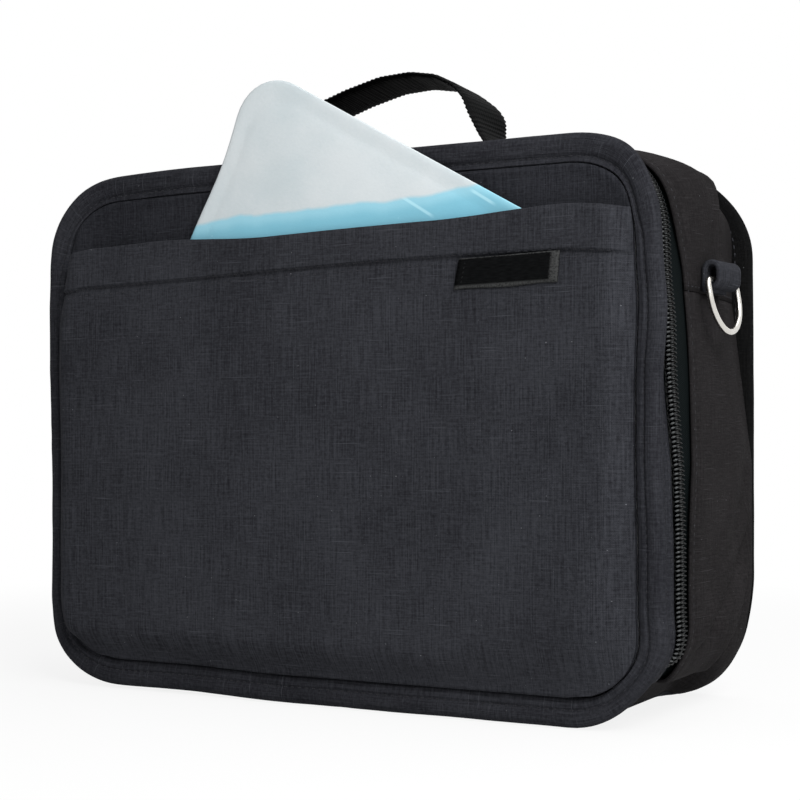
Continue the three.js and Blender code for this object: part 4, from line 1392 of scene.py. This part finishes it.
@dataclass
class Pocket:
    """The slack front pocket with its double hem, the cloth above it and the bare patch."""

    form: CaseForm
    sewing: Sewing
    puff: float = 8.6
    fabric: float = 1.2
    rise: float = 9.0
    hem: float = 17.0
    hem_rows: tuple[float, float] = (-0.4, 2.6)
    patch_thickness: float = 0.7
    patch_crown: float = 0.35
    overhang: float = 3.0
    draw_in: float = 4.6
    half_span: float = 129.0
    label: tuple[float, float, float, float] = (60.0, 101.2, 159.4, 171.0)

    @property
    def low(self) -> float:
        """Height of the pocket's foot."""
        return self.form.panel_inset

    def half_width(self, z: Floats) -> Floats:
        """Half the width inside the rim at a height."""
        f = self.form
        r = f.radius - f.panel_inset
        drop = np.clip((np.maximum(z - f.high_z, 0) + np.maximum(f.radius - z, 0)) / r, 0, 1)
        return f.straight_x + r * (1 - drop**f.power) ** (1 / f.power)

    @staticmethod
    def hem_line(x: Floats) -> Floats:
        """Height of the line that the hem is sewn along, as seen at the pocket's edge."""
        return 184.3 + 4.7 * ramp(x, -130, 75) - 1.8 * ramp(x, 104, 130) - 1.5 * ramp(x, -112, -128)

    @staticmethod
    def gape(x: Floats) -> Floats:
        """How far the gel pack draws the mouth down below that line."""
        return 3.0 * ramp(x, -79, -21) * (1 - ramp(x, 50, 110))

    def depth_at(self, x: Floats, z: Floats, half: Floats) -> Floats:
        """How far the pocket stands proud of its sewn edge."""
        up = z - self.low
        loose = 1 + 0.9 * ramp(x, 40, 110) * ramp(z, 90, 30)
        left = smooth(np.sqrt(np.clip((half + x) / self.rise, 0, 1)))
        right = smooth(np.clip((half - x) / (self.rise * 1.2 * loose), 0, 1) ** 0.75)
        foot = smooth(np.clip(up / (self.rise * 1.7 * loose), 0, 1) ** 0.9)
        belly = 0.9 + 0.1 * np.sin(np.clip(up / 176, 0, 1) * math.pi)
        slack = 1 - 0.12 * ramp(z, 150, 190) * smooth(np.abs(x) / 120)
        return self.puff * left * right * foot * belly * slack

    def surface(self) -> tuple[Floats, Floats]:
        """The pocket's outer and inner faces, columns by rows, which lie close at edges and hem."""
        edges = np.linspace(0, 0.13, 16), np.linspace(0.13, 0.87, 64)[1:-1], np.linspace(0.87, 1, 16)
        across = np.concatenate(edges) * 2 - 1
        rows = np.linspace(0, 0.12, 16), np.linspace(0.12, 1, 70)[1:], np.linspace(0.892, 0.932, 21)
        up = np.unique(np.concatenate(rows))
        line = self.hem_line(across * self.half_span)
        mouth = line - self.gape(across * self.half_span)
        z = self.low + (mouth[:, None] - self.low) * up[None]
        half = self.half_width(z)
        x = across[:, None] * half
        flat = np.stack([x, np.zeros_like(x), z], -1)
        puff = self.depth_at(x, z, half)
        loose = smooth(puff / 3)
        puff = puff + loose * (0.45 * wander(flat, 34.0, 2.3) + 0.16 * wander(flat, 11.0, 9.4))
        below = line[:, None] - z
        hem = 0.9 * smooth((self.hem - below) / 0.9) - 0.8 * bell(below - self.hem - 0.5, 0.8)
        pleat = 0.9 * bell(x + 92.5 + 0.03 * (z - 170), 1.3) * ramp(z, 160, 172)
        puff = puff + loose * (hem + pleat)
        y = -self.form.half_depth + 0.9 - 0.9 * ramp(x, 90, 115) * ramp(z, 60, 30) - puff
        over = self.overhang * ramp(puff, 1, 6) * (1 - smooth((half + x) / 26)) * ramp(z, 200, 176)
        x = x - over + self.draw_in * ramp(x, -88, -126) * ramp(z, 148, 182)
        inner = np.stack([x, y, z], -1)
        return settle(inner - BACKWARD * self.fabric), settle(inner)

    def build(self) -> None:
        """Builds the pocket, the cloth above it, the patch and their stitches."""
        outer, inner = self.surface()
        loft = Loft("pocket_cloth", rounded(outer, inner), Finish.SHELL, straight=True)
        lay(loft, "lid", "pocket_panel")
        hem_z = outer[:, -1, 2] + self.gape(outer[:, -1, 0])
        for number, under in enumerate(self.hem_rows):
            row_z = hem_z - (self.hem + under)
            line = [at_lengths(c, c[:, 2], np.array([z]))[0] for c, z in zip(outer, row_z)]
            self.sewing.seam(f"pocket_hem_stitches_{number + 1}", np.array(line[3:-3]), -BACKWARD, "lid")
        self.build_front()
        self.build_patch(outer)

    def build_front(self) -> None:
        """Builds the lid's front cloth, which shows above the pocket, in the darker copy of the shell's cloth
        that paints its shade.
        """
        f = self.form
        shares = np.concatenate([[CENTRE, 0.3, 0.6, 0.8], np.linspace(0.86, 1, 10)])
        face = f.disc(f.panel_inset, shares)
        near = ramp(shares, 0.95, 1)
        rise = near[None] * ramp(face[..., 2], 188, 198) * 0.9
        y = -f.half_depth + 1.3 - rise + 0.25 * wander(face, 22.0, 6.6) * (1 - near)[None]
        faces = [settle(moved(face, at)) for at in (y, y + self.fabric)]
        # Painted shade: the front cloth takes the darker copy of the shell's cloth.
        loft = Loft("front_cloth", rounded(*faces), Finish.FRONT, loop=True, straight=True)
        span = face.max((0, 1)) - face.min((0, 1))
        loft.size = span[0], span[2]
        lay(loft, "lid", "front_panel")

    def build_patch(self, pocket: Floats) -> None:
        """Builds the bare patch, laid on the pocket's face, and the stitches round its edge."""
        x0, x1, z0, z1 = self.label
        xs, zs = np.linspace(x0, x1, 24), np.linspace(z0, z1, 10)
        columns = pocket[:, :, 0].mean(1)
        y = np.zeros((len(xs), len(zs)))
        for i, x in enumerate(xs):
            k = int(np.clip(np.searchsorted(columns, x), 1, len(columns) - 1))
            t = (x - columns[k - 1]) / (columns[k] - columns[k - 1])
            row = pocket[k - 1] * (1 - t) + pocket[k] * t
            y[i] = np.interp(zs, row[:, 2], row[:, 1])
        inner = crossed(xs, zs, np.minimum(y, y.mean(1, keepdims=True)) - 0.12)
        crown = self.patch_crown * (1 - ((inner[..., 2] - (z0 + z1) / 2) / (z1 - z0) * 2) ** 4)
        share_x, share_z = (inner[..., 0] - x0) / (x1 - x0), (inner[..., 2] - z0) / (z1 - z0)
        inner[..., 0] += share_z * (2.2 - 1.4 * share_x)
        inner[..., 2] += 1.0 * smooth(share_x) + 0.25 * np.sin(share_x * 9) * (1 - share_z)
        outer = moved(inner, inner[..., 1] - self.patch_thickness - crown)
        loft = Loft("bare_patch", rounded(outer, inner, 0.6), Finish.PATCH, straight=True)
        lay(loft, "lid", "label_patch")
        face = outer - BACKWARD * 0.05
        line = np.concatenate([face[1:-1, 0], face[-2, 1:-1], face[-2:0:-1, -1], face[1, -2:0:-1]])
        line = line + (line.mean(0) - line) * 1.1 * np.array([1 / 20, 0, 1 / 7])
        self.sewing.seam("patch_stitches", line, -BACKWARD, "lid", True, Finish.PATCH_THREAD, 0.55)


@dataclass
class GelPack:
    """The pouch of gel that stands on one corner in the pocket."""

    long: float = 172.0
    short: float = 165.0
    corner: float = 22.0
    thickness: float = 5.2
    edge: float = 1.2
    weld: float = 7.0
    lean: float = 29.4
    tip: tuple[float, float] = (-32.4, 254.8)
    skew: float = 0.103
    middle_y: float = -56.2

    def outline(self) -> Floats:
        """The pouch's outline in its own plane, the top edge along X and down as -Z."""
        r, right, low = self.corner, self.long - self.corner, self.corner - self.short
        corners = ((r, -r, 1), (right, -r, 0), (right, low, -1), (r, low, 2))
        angles = np.linspace(math.pi / 2, 0, 13)
        turns = [(x, z, k * math.pi / 2 + angle) for x, z, k in corners for angle in angles]
        points = [(x + r * math.cos(a), z + r * math.sin(a)) for x, z, a in turns]
        closed = np.array([*points, points[0]])
        along = lengths_along(closed)
        line = at_lengths(closed, along, np.linspace(0, along[-1], 181)[:-1])
        line[:, 0] -= self.skew * line[:, 1]
        return line

    def build(self) -> None:
        """Builds the pouch, domed inside its flat weld."""
        line = self.outline()
        middle = np.array([(self.long + self.skew * self.short) / 2, -self.short / 2])
        inner = 1 - 2 * self.weld / self.short
        gel, step = np.linspace(0.1, inner - 0.06, 14), np.linspace(inner - 0.04, inner + 0.01, 5)
        shares = np.concatenate([[CENTRE, 0.004, 0.02], gel, step, [0.95, 0.975, 0.992, 1.0]])
        across, up = np.moveaxis(middle + (line - middle)[:, None] * shares[None, :, None], -1, 0)
        across = across + 2.6 * ramp(across, 60, 0) * bell(up + 42, 24.0)
        dome = (self.thickness - self.edge) / 2 * np.clip(1 - (shares / inner) ** 5, 0, 1) ** 0.8
        rounding = self.edge / 2 * np.sqrt(np.clip(1 - ((shares - 0.97) / 0.031).clip(0, 1) ** 2, 0.02, 1))
        local = np.stack([across, np.zeros_like(across), up], -1)
        slack = wander(local, 42.0, 5.0) * 0.55 + wander(local, 15.0, 8.0) * 0.2
        pucker = wander(local, 6.0, 12.0) * 0.22
        loose, around = smooth((inner - shares) / 0.12), bell(shares - inner, 0.035)
        half = np.maximum((dome + rounding)[None] + loose[None] * slack + around[None] * pucker, 0.12)
        x, z = turned(across, up, self.lean)
        x, z = x + self.tip[0], z + self.tip[1]
        y = self.middle_y + 1.4 * ramp(z, 170, 260) + 0.35 * wander(local, 60.0, 2.0)
        front, back = (np.stack([x, y + side * half * 0.9, z], -1) for side in (-1, 1))
        sections = np.concatenate([front, back[:, ::-1]], 1)
        pad(Loft("gel_pouch", sections, Finish.FILM, loop=True), "gel_pack", "gel_pack")


@dataclass
class Handle:
    """The carry handle: an arch of webbing, and its two feet sewn to the top."""

    form: CaseForm
    sewing: Sewing
    width: float = 25.0
    thickness: float = 2.0
    left: float = 52.0
    right: float = 50.0
    apex: float = 255.0
    foot: float = 26.0
    foot_margin: float = 3.0
    foot_gap: float = 1.6
    lean: float = 0.096
    twist: float = 0.12
    rib: float = 2.1
    free_heights: tuple[float, float] = (3.0, 24.0)
    shares: tuple[tuple[float, float], ...] = (
        (-0.985, -0.2),
        (-0.93, 0.02),
        (-0.82, 0.32),
        (-0.6, 0.64),
        (-0.3, 0.825),
        (0.02, 0.97),
        (0.3, 1.0),
        (0.52, 0.93),
        (0.69, 0.755),
        (0.78, 0.55),
        (0.84, 0.26),
        (0.93, -0.06),
        (0.985, -0.2),
    )
    bend: tuple[tuple[float, float], ...] = ((3.2, 0.15), (1.2, 0.5), (-0.1, 2.0), (-0.6, 5.0))

    @property
    def lift(self) -> float:
        """How far the middle of webbing that lies on the top is above it."""
        return self.form.clearance + self.thickness / 2

    def path(self, top: float) -> Floats:
        """The middle line of the webbing from one foot to the other."""
        axis = top + self.form.clearance + self.width / 2
        rise = self.apex - self.thickness / 2 - axis
        arch = [(u * (self.left if u < 0 else self.right), axis + v * rise) for u, v in self.shares]
        low = top + self.lift
        start = [(-self.left - out, low + up) for out, up in self.bend]
        end = [(self.right + out, low + up) for out, up in self.bend[::-1]]
        points = np.array([(x, 0.0, z) for x, z in start + arch + end])
        along = lengths_along(points)
        dense = at_lengths(points, along, np.arange(0, along[-1], 0.5))
        window = np.hanning(15)
        window /= window.sum()
        padded = np.pad(dense, ((7, 7), (0, 0)), "edge")
        return np.stack([np.convolve(column, window, "valid") for column in padded.T], 1)

    def strap(self, name: str, line: Floats) -> Loft:
        """Webbing along a line, with thin ribbed edges."""
        up = np.cross(unit(np.gradient(line, axis=0)), BACKWARD)
        up *= np.sign(up[:, 2].sum() or 1.0)
        along = lengths_along(line)
        rib = np.sin(along * 2 * math.pi / self.rib)
        across = np.linspace(-1, 1, 13)
        half = self.width / 2 - 0.3 + 0.42 * rib
        thick = self.thickness / 2 * np.clip(1 - np.abs(across) ** 10, 0.25, 1)
        sag = 0.12 * np.sin(along / 9.0)
        rows = []
        for side in (1, -1):
            for a, t in zip(across[::side], thick[::side]):
                offset = up * (side * t * (1 + 0.06 * rib) + sag)[:, None]
                rows.append(line + offset + BACKWARD * (a * half)[:, None])
        return Loft(name, np.stack(rows, 1), Finish.WEBBING)

    def build(self) -> None:
        """Builds the arch, twisted a little to the right, and the feet."""
        top = self.form.height - self.form.top_belly
        line = self.path(top)
        loft = self.strap("handle_webbing", line)
        far = loft.sections[..., 1] + self.width / 2
        free = ramp(line[:, 2], top + 4, top + 24)[:, None]
        swing = free * (ramp(line[:, 0], 20, 45) * (1 + 1.2 * bell(line[:, 2] - 238, 9.0)))[:, None]
        loft.sections[..., 2] -= self.lean * far * free
        loft.sections[..., 0] += self.twist * far * swing
        made = loft.build()
        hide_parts("handle")
        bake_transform(made)
        declare(made, loft)
        for (name, side), reach in zip(SIDES, (self.right, self.left)):
            self.build_foot(name, side, reach + self.foot_gap + self.form.clearance, top)

    def build_foot(self, name: str, side: int, near: float, top: float) -> None:
        """Builds one foot, with a boxed cross of stitches.

        Args:
            name: right or left.
            side: 1 right, -1 left.
            near: how far from the middle it starts.
            top: height of the case's top.
        """
        xs = side * np.arange(near, near + self.foot, 0.5)
        line = np.stack([xs, np.zeros_like(xs), np.full(len(xs), top + self.lift)], 1)
        loft = self.strap(f"foot_webbing_{name}", line)
        lay(loft, "case", f"handle_foot_{name}")
        z, margin = top + self.lift + self.thickness / 2 + 0.1, self.foot_margin
        x0, x1, y = side * (near + margin), side * (near + self.foot - margin), self.width / 2 - margin
        corners = ((x0, -y), (x1, -y), (x1, y), (x0, y), (x0, -y), (x1, y))
        line = np.array([[x, w, z] for x, w in corners])
        box = np.concatenate([np.linspace(a, b, 24) for a, b in zip(line[:-1], line[1:])])
        cross = np.linspace([x1, -y, z], [x0, y, z], 24)
        for kind, stitched in (("box", box), ("cross", cross)):
            self.sewing.seam(f"foot_{name}_{kind}_stitches", stitched, np.array([0.0, 0.0, 1.0]), "case")


@dataclass
class RingMount:
    """A D-ring of round wire and the flattened fabric loop that carries it."""

    name: str
    side: int
    form: CaseForm
    middle: tuple[float, float] = (142.376, 166.0)
    yaw: float = 5.0
    length: float = 20.0
    thickness: float = 8.0
    height: float = 11.0
    wall: float = 2.0
    tail: float = 6.85
    ring_inside: float = 25.0
    wire: float = 2.4
    drop: float = 19.5
    ring_corner: float = 3.0
    tilt: float = 9.5

    def placed(self, local: Floats) -> Floats:
        """Local places, x outwards, turned and moved to the case's side."""
        x, y = turned(local[..., 0], local[..., 1], self.yaw)
        return np.stack([self.side * (x + self.middle[0]), y, local[..., 2] + self.middle[1]], -1)

    def build(self) -> None:
        """Builds the fabric loop and the ring."""
        self.build_tab()
        self.build_ring()

    def build_tab(self) -> None:
        """Builds the fabric loop: a band round the ring's bar, with its tail on the case."""
        mid = (self.thickness - self.wall) / 2
        straight = (self.height - self.thickness) / 2
        tail = np.array([(-mid, z) for z in (0.4 - self.tail, -0.6 * self.tail, -straight, 0.3)])
        over, under = np.linspace(math.pi, 0, 15), np.linspace(0, -math.pi * 0.8, 13)
        bends = [
            np.stack([mid * np.cos(turn), level * straight + mid * np.sin(turn)], 1)
            for turn, level in ((over, 1), (under, -1))
        ]
        line = np.concatenate([tail, *bends])
        ways = unit(np.gradient(line, axis=0))
        out = np.stack([-ways[:, 1], ways[:, 0]], 1)
        thick = np.full(len(line), self.wall / 2 * 0.94)
        thick[-5:] *= np.linspace(1, 0.45, 5)
        across = np.linspace(-self.length / 2, self.length / 2, 25)
        free = np.clip((line[:, :1] + mid) / (2 * mid), 0, 1) * 0.8
        rows = []
        for sign in (1, -1):
            edge = line + sign * out * thick[:, None]
            grid = np.stack(np.broadcast_arrays(edge[:, None, 0], across, edge[:, None, 1]), -1)
            squeeze = 0.5 * wander(grid, 6.5, 3.0 + self.side) + 0.25 * np.cos(across / 10 * math.pi)[None]
            puff = 0.45 * sign * bell(np.abs(across) - 8.9, 0.9)[None] * 0.35
            wrinkle = 0.3 * wander(grid * np.array([1.0, 2.2, 1.0]), 9.0, 5.5) * ramp(line[:, :1], -1, 2)
            grid[..., 0] += (squeeze + wrinkle) * free + puff * out[:, None, 0]
            grid[..., 2] += puff * out[:, None, 1]
            rows.append(grid)
        loft = Loft(f"ring_tab_{self.name}", self.placed(rounded(*rows, 0.45)), Finish.SHELL)
        lay(loft, "case", f"d_ring_tab_{self.name}")

    def build_ring(self) -> None:
        """Builds the ring: a circle of wire carried round the D's path by bpy.ops."""
        half = (self.ring_inside + self.wire) / 2
        r, bow = self.ring_corner, self.drop - half
        rest_bench()
        bpy.ops.mesh.primitive_circle_add(
            vertices=16, radius=self.wire / 2 * MM, location=(0, 0, 0), rotation=(math.pi / 2, 0, 0)
        )
        ring = bpy.context.object
        bpy.ops.object.transform_apply(location=True, rotation=True, scale=True)
        bpy.ops.object.mode_set(mode="EDIT")
        bpy.ops.mesh.select_all(action="SELECT")
        runs: list[tuple[str, float, tuple[float, float]]] = [
            ("run", half - r, (1, 0)),
            ("turn", math.pi / 2, (half - r, -r)),
            ("run", bow - r, (0, -1)),
            ("turn", math.pi, (0, -bow)),
            ("run", bow - r, (0, 1)),
            ("turn", math.pi / 2, (-half + r, -r)),
            ("run", half - r, (1, 0)),
        ]
        for kind, amount, (y, z) in runs:
            if kind == "run":
                move = (0, y * amount * MM, z * amount * MM)
                bpy.ops.mesh.extrude_region_move(TRANSFORM_OT_translate={"value": move})
            else:
                steps, centre = max(int(amount * 12), 8), (0, y * MM, z * MM)
                bpy.ops.mesh.spin(steps=steps, angle=-amount, center=centre, axis=(-1, 0, 0))
        bpy.ops.mesh.select_all(action="SELECT")
        bpy.ops.mesh.remove_doubles(threshold=0.02 * MM)
        bpy.ops.mesh.normals_make_consistent(inside=False)
        bpy.ops.object.mode_set(mode="OBJECT")
        points = points_of(ring)
        bar_drop = self.height / 2 - self.wall - self.wire / 2 - self.form.clearance
        x, z = turned(points[:, 0], points[:, 2], -self.tilt)
        placed = self.placed(np.stack([x, points[:, 1], z - bar_drop], 1)) * MM
        ring.data.vertices.foreach_set("co", placed.astype(np.float32).ravel())
        if self.side < 0:
            ring.data.flip_normals()
        ring.data.update()
        bpy.ops.object.shade_smooth_by_angle(angle=math.radians(60))
        ring.name = ring.data.name = f"ring_wire_{self.name}"
        ring.data.materials.append(Finish.STEEL.material())
        node = f"d_ring_{self.name}"
        stand(ring, node, node)


@dataclass
class Inside:
    """Foam, foil linings, the hinge strip, the elastic loops and the mesh pocket."""

    form: CaseForm
    sewing: Sewing
    foam: float = 4.0
    lining: float = 0.6
    guard: float = 7.0
    front_fabric: float = 1.2
    back_dome: float = 5.0
    foam_fill: float = 0.9
    loops: int = 5
    loop_pitch: float = 34.0
    loop_width: float = 22.0
    loop_bulge: float = 3.4
    elastic: tuple[float, float] = (102.0, 134.0)
    elastic_thickness: float = 0.8
    net: tuple[float, float, float] = (95.0, 30.0, 126.0)
    net_hem: float = 9.0
    net_faces: tuple[float, float] = (0.15, 0.45)
    binding: float = 0.65
    stitch_margin: float = 1.4
    hinge_faces: tuple[float, float] = (0.1, 1.1)

    def plate(
        self, name: str, inset: float, front: float, thick: float, finish: Finish, slack: float
    ) -> Loft:
        """A flat layer across the case, inside the outline by an inset.

        Args:
            name: the piece's name.
            inset: how far inside the outline it ends.
            front: the depth of its front face.
            thick: its thickness.
            finish: its finish.
            slack: how far its faces wander.

        Returns:
            The loft, ready to build.
        """
        shares = np.array([CENTRE, 0.2, 0.4, 0.6, 0.75, 0.87, 0.95, 1.0])
        face = self.form.disc(inset, shares)
        wave = slack * wander(face, 30.0, front) * smooth((1 - shares) / 0.1)[None]
        faces = [moved(face, y + wave) for y in (front, front + thick)]
        if front < 0:
            faces = [settle(face) for face in faces]
        loft = Loft(name, rounded(*faces), finish, loop=True, straight=finish is Finish.FOIL)
        loft.size = loft.span()
        return loft

    def ring(self, name: str, depths: Floats, offset: float, thick: float, finish: Finish) -> Loft:
        """A layer inside the gusset, all the way round.

        Args:
            name: the piece's name.
            depths: its depths from front to back.
            offset: how far it lies under the gusset's face.
            thick: its thickness.
            finish: its finish.

        Returns:
            The loft, ready to build.
        """
        whole, offsets = self.form.whole(), (offset, offset + thick)
        faces = [settle(crumpled(self.form.gusset(whole, depths, at))) for at in offsets]
        return Loft(name, rounded(*faces), finish, loop=True)

    def build(self) -> None:
        """Builds all the inner layers."""
        f = self.form
        c = f.clearance
        foam_offset = f.shell + c + self.lining + c
        lining_offset = foam_offset + self.foam + c
        inset = f.root_inset + foam_offset
        foam_y = -f.half_depth + 1.3 + self.front_fabric + c
        lining_y = foam_y + self.foam + c
        padding = self.plate("lid_foam_sheet", inset, foam_y, self.foam, Finish.FOAM, 0.0)
        pad(padding, "lid", "lid_foam")
        foil = self.plate("lid_foil", inset, lining_y, self.lining, Finish.FOIL, 0.12)
        lay(foil, "lid", "lid_lining")
        front, back = f.zip_y + self.guard, f.gusset_end - c
        padding = self.ring("gusset_foam_sheet", spaced(front, back, 16), foam_offset, self.foam, Finish.FOAM)
        pad(padding, "case", "gusset_foam")
        depths = spaced(front, back - self.lining - c, 16)
        foil = self.ring("gusset_foil", depths, lining_offset, self.lining, Finish.FOIL)
        lay(foil, "case", "gusset_lining")
        self.build_back(back, lining_offset)
        self.build_hinge(front)
        self.build_loops(back - self.lining - c)
        self.build_net(lining_y + self.lining + c)

    def build_back(self, back: float, offset: float) -> None:
        """Builds the back panel with its foam, and the foil that faces inwards.

        Args:
            back: the depth of the foil's back face.
            offset: how far the linings lie under the gusset's face.
        """
        f = self.form
        shares = np.concatenate([[CENTRE, 0.2, 0.4, 0.55, 0.68, 0.78], np.linspace(0.84, 1, 9)])
        face = f.disc(f.panel_inset, shares)
        loose = (ramp(shares, 1, 0.9) * ramp(shares, 0, 0.2))[None]
        relief = self.back_dome * (1 - shares**4) - 0.9 * bell(shares - 0.93, 0.03)
        relief = relief + (0.5 * wander(face, 36.0, 4.0) + 0.2 * wander(face, 13.0, 5.0)) * loose
        outer = f.half_depth - 1.0 + relief
        faces = [moved(face, y) for y in (outer, outer - self.front_fabric)]
        cloth = Loft("back_cloth", rounded(*faces), Finish.SHELL, loop=True, straight=True)
        cloth.size = cloth.span()
        lay(cloth, "case", "back_panel")
        middle = np.array([0.0, 0.0, f.height / 2])
        smaller = middle + (face - middle) * 0.95
        depths = outer - self.front_fabric - f.clearance, f.gusset_end + 1.4 * ramp(shares, 0.93, 1)
        faces = [moved(smaller, y) for y in depths]
        padding = Loft("back_foam_sheet", rounded(*faces), Finish.FOAM, loop=True)
        pad(padding, "case", "back_foam")
        inset, thick = f.root_inset + offset, self.lining
        foil = self.plate("back_foil", inset, back - thick, thick, Finish.FOIL, 0.1)
        lay(foil, "case", "back_lining")

    def build_hinge(self, front: float) -> None:
        """Builds the strip that the lid folds on.

        Args:
            front: the depth where the gusset's padding starts.
        """
        f = self.form
        x = np.linspace(-f.straight_x, f.straight_x, 60)
        y = np.linspace(-f.half_depth + f.rim_thickness + 2 * f.clearance, front - f.clearance, 12)
        grid = np.stack(np.broadcast_arrays(x[:, None], y, f.shell + f.clearance), -1)
        grid[..., 2] += 0.1 * wander(grid, 15.0, 1.0)
        faces = [grid + np.array([0.0, 0.0, above]) for above in self.hinge_faces]
        loft = Loft("hinge_tape", rounded(*faces), Finish.TAPE)
        lay(loft, "case", "hinge_strip")

    def build_loops(self, back: float) -> None:
        """Builds the elastic band, sewn down between its loops.

        Args:
            back: the depth of the lining that it is sewn to.
        """
        low, high = self.elastic
        half = self.loops * self.loop_pitch / 2
        x = np.linspace(-half, half, 241)
        phase = (x + half) % self.loop_pitch - self.loop_pitch / 2
        arch = self.loop_bulge * np.cos(np.clip(phase / (self.loop_width / 2), -1, 1) * math.pi / 2)
        z, depth = np.linspace(low, high, 14), (back - arch)[:, None]
        faces = [crossed(x, z, depth - thick) for thick in (self.elastic_thickness, 0.0)]
        loft = Loft("elastic_band", rounded(*faces), Finish.ELASTIC)
        lay(loft, "case", "elastic_loops")
        ends = half - 1.2
        for i in range(self.loops + 1):
            at = np.clip(i * self.loop_pitch - half, -ends, ends)
            line = np.linspace([at, back - 0.85, low + 1.5], [at, back - 0.85, high - 1.5], 12)
            self.sewing.seam(f"elastic_stitches_{i + 1}", line, -BACKWARD, "case")

    def build_net(self, front: float) -> None:
        """Builds the net pocket in the lid and its bound edge.

        Args:
            front: the depth of the lining that it is sewn to.
        """
        half, low, high = self.net
        x, hem = np.linspace(-half, half, 96), high - self.net_hem
        grid = crossed(x, np.linspace(low, high, 50), front)
        faces = [grid + BACKWARD * behind for behind in self.net_faces]
        loft = Loft("net_pocket", rounded(*faces), Finish.NET)
        lay(loft, "lid", "mesh_pocket")
        z, base = np.linspace(hem, high, 9), front + self.lining + self.form.clearance
        crown = 0.35 * (1 - ((z - (hem + high) / 2) / (self.net_hem / 2)) ** 2)
        faces = [crossed(x, z, y) for y in (base, base + self.binding + crown)]
        loft = Loft("net_binding", rounded(*faces), Finish.BINDING)
        lay(loft, "lid", "mesh_binding")
        for name, at in (("upper", high - self.stitch_margin), ("lower", hem + self.stitch_margin)):
            line = crossed(x[1:-1], np.array([at]), base + self.binding + 0.2)[:, 0]
            self.sewing.seam(f"net_stitches_{name}", line, BACKWARD, "lid")


@dataclass
class Studio:
    """The floor, the soft lights and the camera."""

    position: tuple[float, float, float] = (335.39, -615.07, 106.13)
    yaw: float = 28.29
    pitch: float = 1.176
    lens: float = 75.5
    film: float = 36.0
    clip: tuple[float, float] = (0.02, 50.0)
    floor_size: float = 30.0
    floor_z: float = -0.0002
    surround: float = 0.42
    lights: tuple[tuple[str, tuple[float, float, float], float, float], ...] = (
        ("key_softbox", (0.62, -0.58, 0.66), 0.4, 7.5),
        ("fill_softbox", (0.7, -0.2, 0.85), 0.5, 2.4),
        ("top_softbox", (0.3, 0.3, 1.7), 0.9, 6.0),
    )

    def build(self) -> None:
        """Builds the stage round the object."""
        self.build_camera()
        self.build_floor()
        self.build_world()
        for light in self.lights:
            self.light(*light)
        bpy.context.scene.view_settings.view_transform = "Standard"

    def build_camera(self) -> None:
        """Places the camera as the photographer's stood."""
        data = bpy.data.cameras.new("camera")
        data.lens, data.sensor_width = self.lens, self.film
        data.clip_start, data.clip_end = self.clip
        camera = bpy.data.objects.new("camera", data)
        camera.location = [p * MM for p in self.position]
        camera.rotation_euler = (math.radians(90 + self.pitch), 0.0, math.radians(self.yaw))
        bpy.context.scene.collection.objects.link(camera)
        bpy.context.scene.camera = camera

    @staticmethod
    def light(name: str, place: tuple[float, float, float], size: float, power: float) -> None:
        """One square soft light aimed at the case, placed and sized in metres."""
        data = bpy.data.lights.new(name, "AREA")
        data.size, data.energy = size, power
        lamp = bpy.data.objects.new(name, data)
        lamp.location = place
        x, y, z = np.array([0.0, 0.0, LIT_HEIGHT]) - np.array(place)
        rise, heading = math.atan2(z, math.hypot(x, y)), math.atan2(y, x)
        lamp.rotation_euler = (math.pi / 2 + rise, 0.0, heading - math.pi / 2)
        bpy.context.scene.collection.objects.link(lamp)

    @staticmethod
    def seen(s: Shader) -> Value:
        """1 for rays from the camera and for mirrored and refracted ones."""
        path = s.node("ShaderNodeLightPath")
        kinds = ("Is Camera Ray", "Is Glossy Ray", "Is Transmission Ray")
        direct, glossy, through = (Value(s, path.outputs[kind]) for kind in kinds)
        return direct.largest(glossy).largest(through)

    def build_floor(self) -> None:
        """A pale floor that keeps the object's shadow."""
        rest_bench()
        bpy.ops.mesh.primitive_plane_add(size=self.floor_size, location=(0, 0, self.floor_z))
        floor = bpy.context.object
        floor.name = "floor"
        s = Shader(bpy.data.materials.new("pale_floor"))
        diffuse = s.node("ShaderNodeBsdfDiffuse", {}, {0: FLOOR_GREY})
        glow = s.node("ShaderNodeEmission", {}, {0: WHITE, 1: 1.0})
        x, y, _ = s.parts(s.object_place())
        far = (x * x + y * y).band(0.02, 0.35)
        share = self.seen(s) * (far * 0.14 + 0.86)
        mixed = s.node("ShaderNodeMixShader", {}, {0: share, 1: diffuse.outputs[0], 2: glow.outputs[0]})
        s.node("ShaderNodeOutputMaterial", {}, {0: mixed.outputs[0]})
        floor.data.materials.append(s.owner)

    def build_world(self) -> None:
        """An even white surround, which lights the case less than it looks."""
        world = bpy.data.worlds.new("surround")
        bpy.context.scene.world = world
        s = Shader(world)
        inputs = {"Value": self.seen(s), "To Min": self.surround, "To Max": 1.0}
        level = s.node("ShaderNodeMapRange", {}, inputs)
        glow = s.node("ShaderNodeBackground", {}, {0: WHITE, 1: level.outputs[0]})
        s.node("ShaderNodeOutputWorld", {}, {0: glow.outputs[0]})


def main() -> None:
    """Builds the stage, then the case's sub-assemblies in order."""
    logging.basicConfig(level=logging.INFO, format="%(message)s")
    Studio().build()
    sewing = Sewing()
    sewing.model()
    Rim("front_rim_cover", "front_rim", "lid", 1, FORM, sewing, Finish.BINDING).build()
    # The back rim takes the darker copy of the binding's cloth, which paints its shade.
    Rim("back_rim_cover", "back_rim", "case", -1, FORM, sewing, Finish.SHADED_BACK_BINDING).build()
    Shell(FORM, sewing).build()
    Zip(FORM).build()
    Pocket(FORM, sewing).build()
    GelPack().build()
    Handle(FORM, sewing).build()
    for name, side in SIDES:
        RingMount(name, side, FORM).build()
    Inside(FORM, sewing).build()
    for name in LACQUERED:
        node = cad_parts[name]
        node.data.materials.clear()
        node.data.materials.append(Finish.LACQUER.material())
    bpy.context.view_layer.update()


if __name__ == "__main__":
    main()
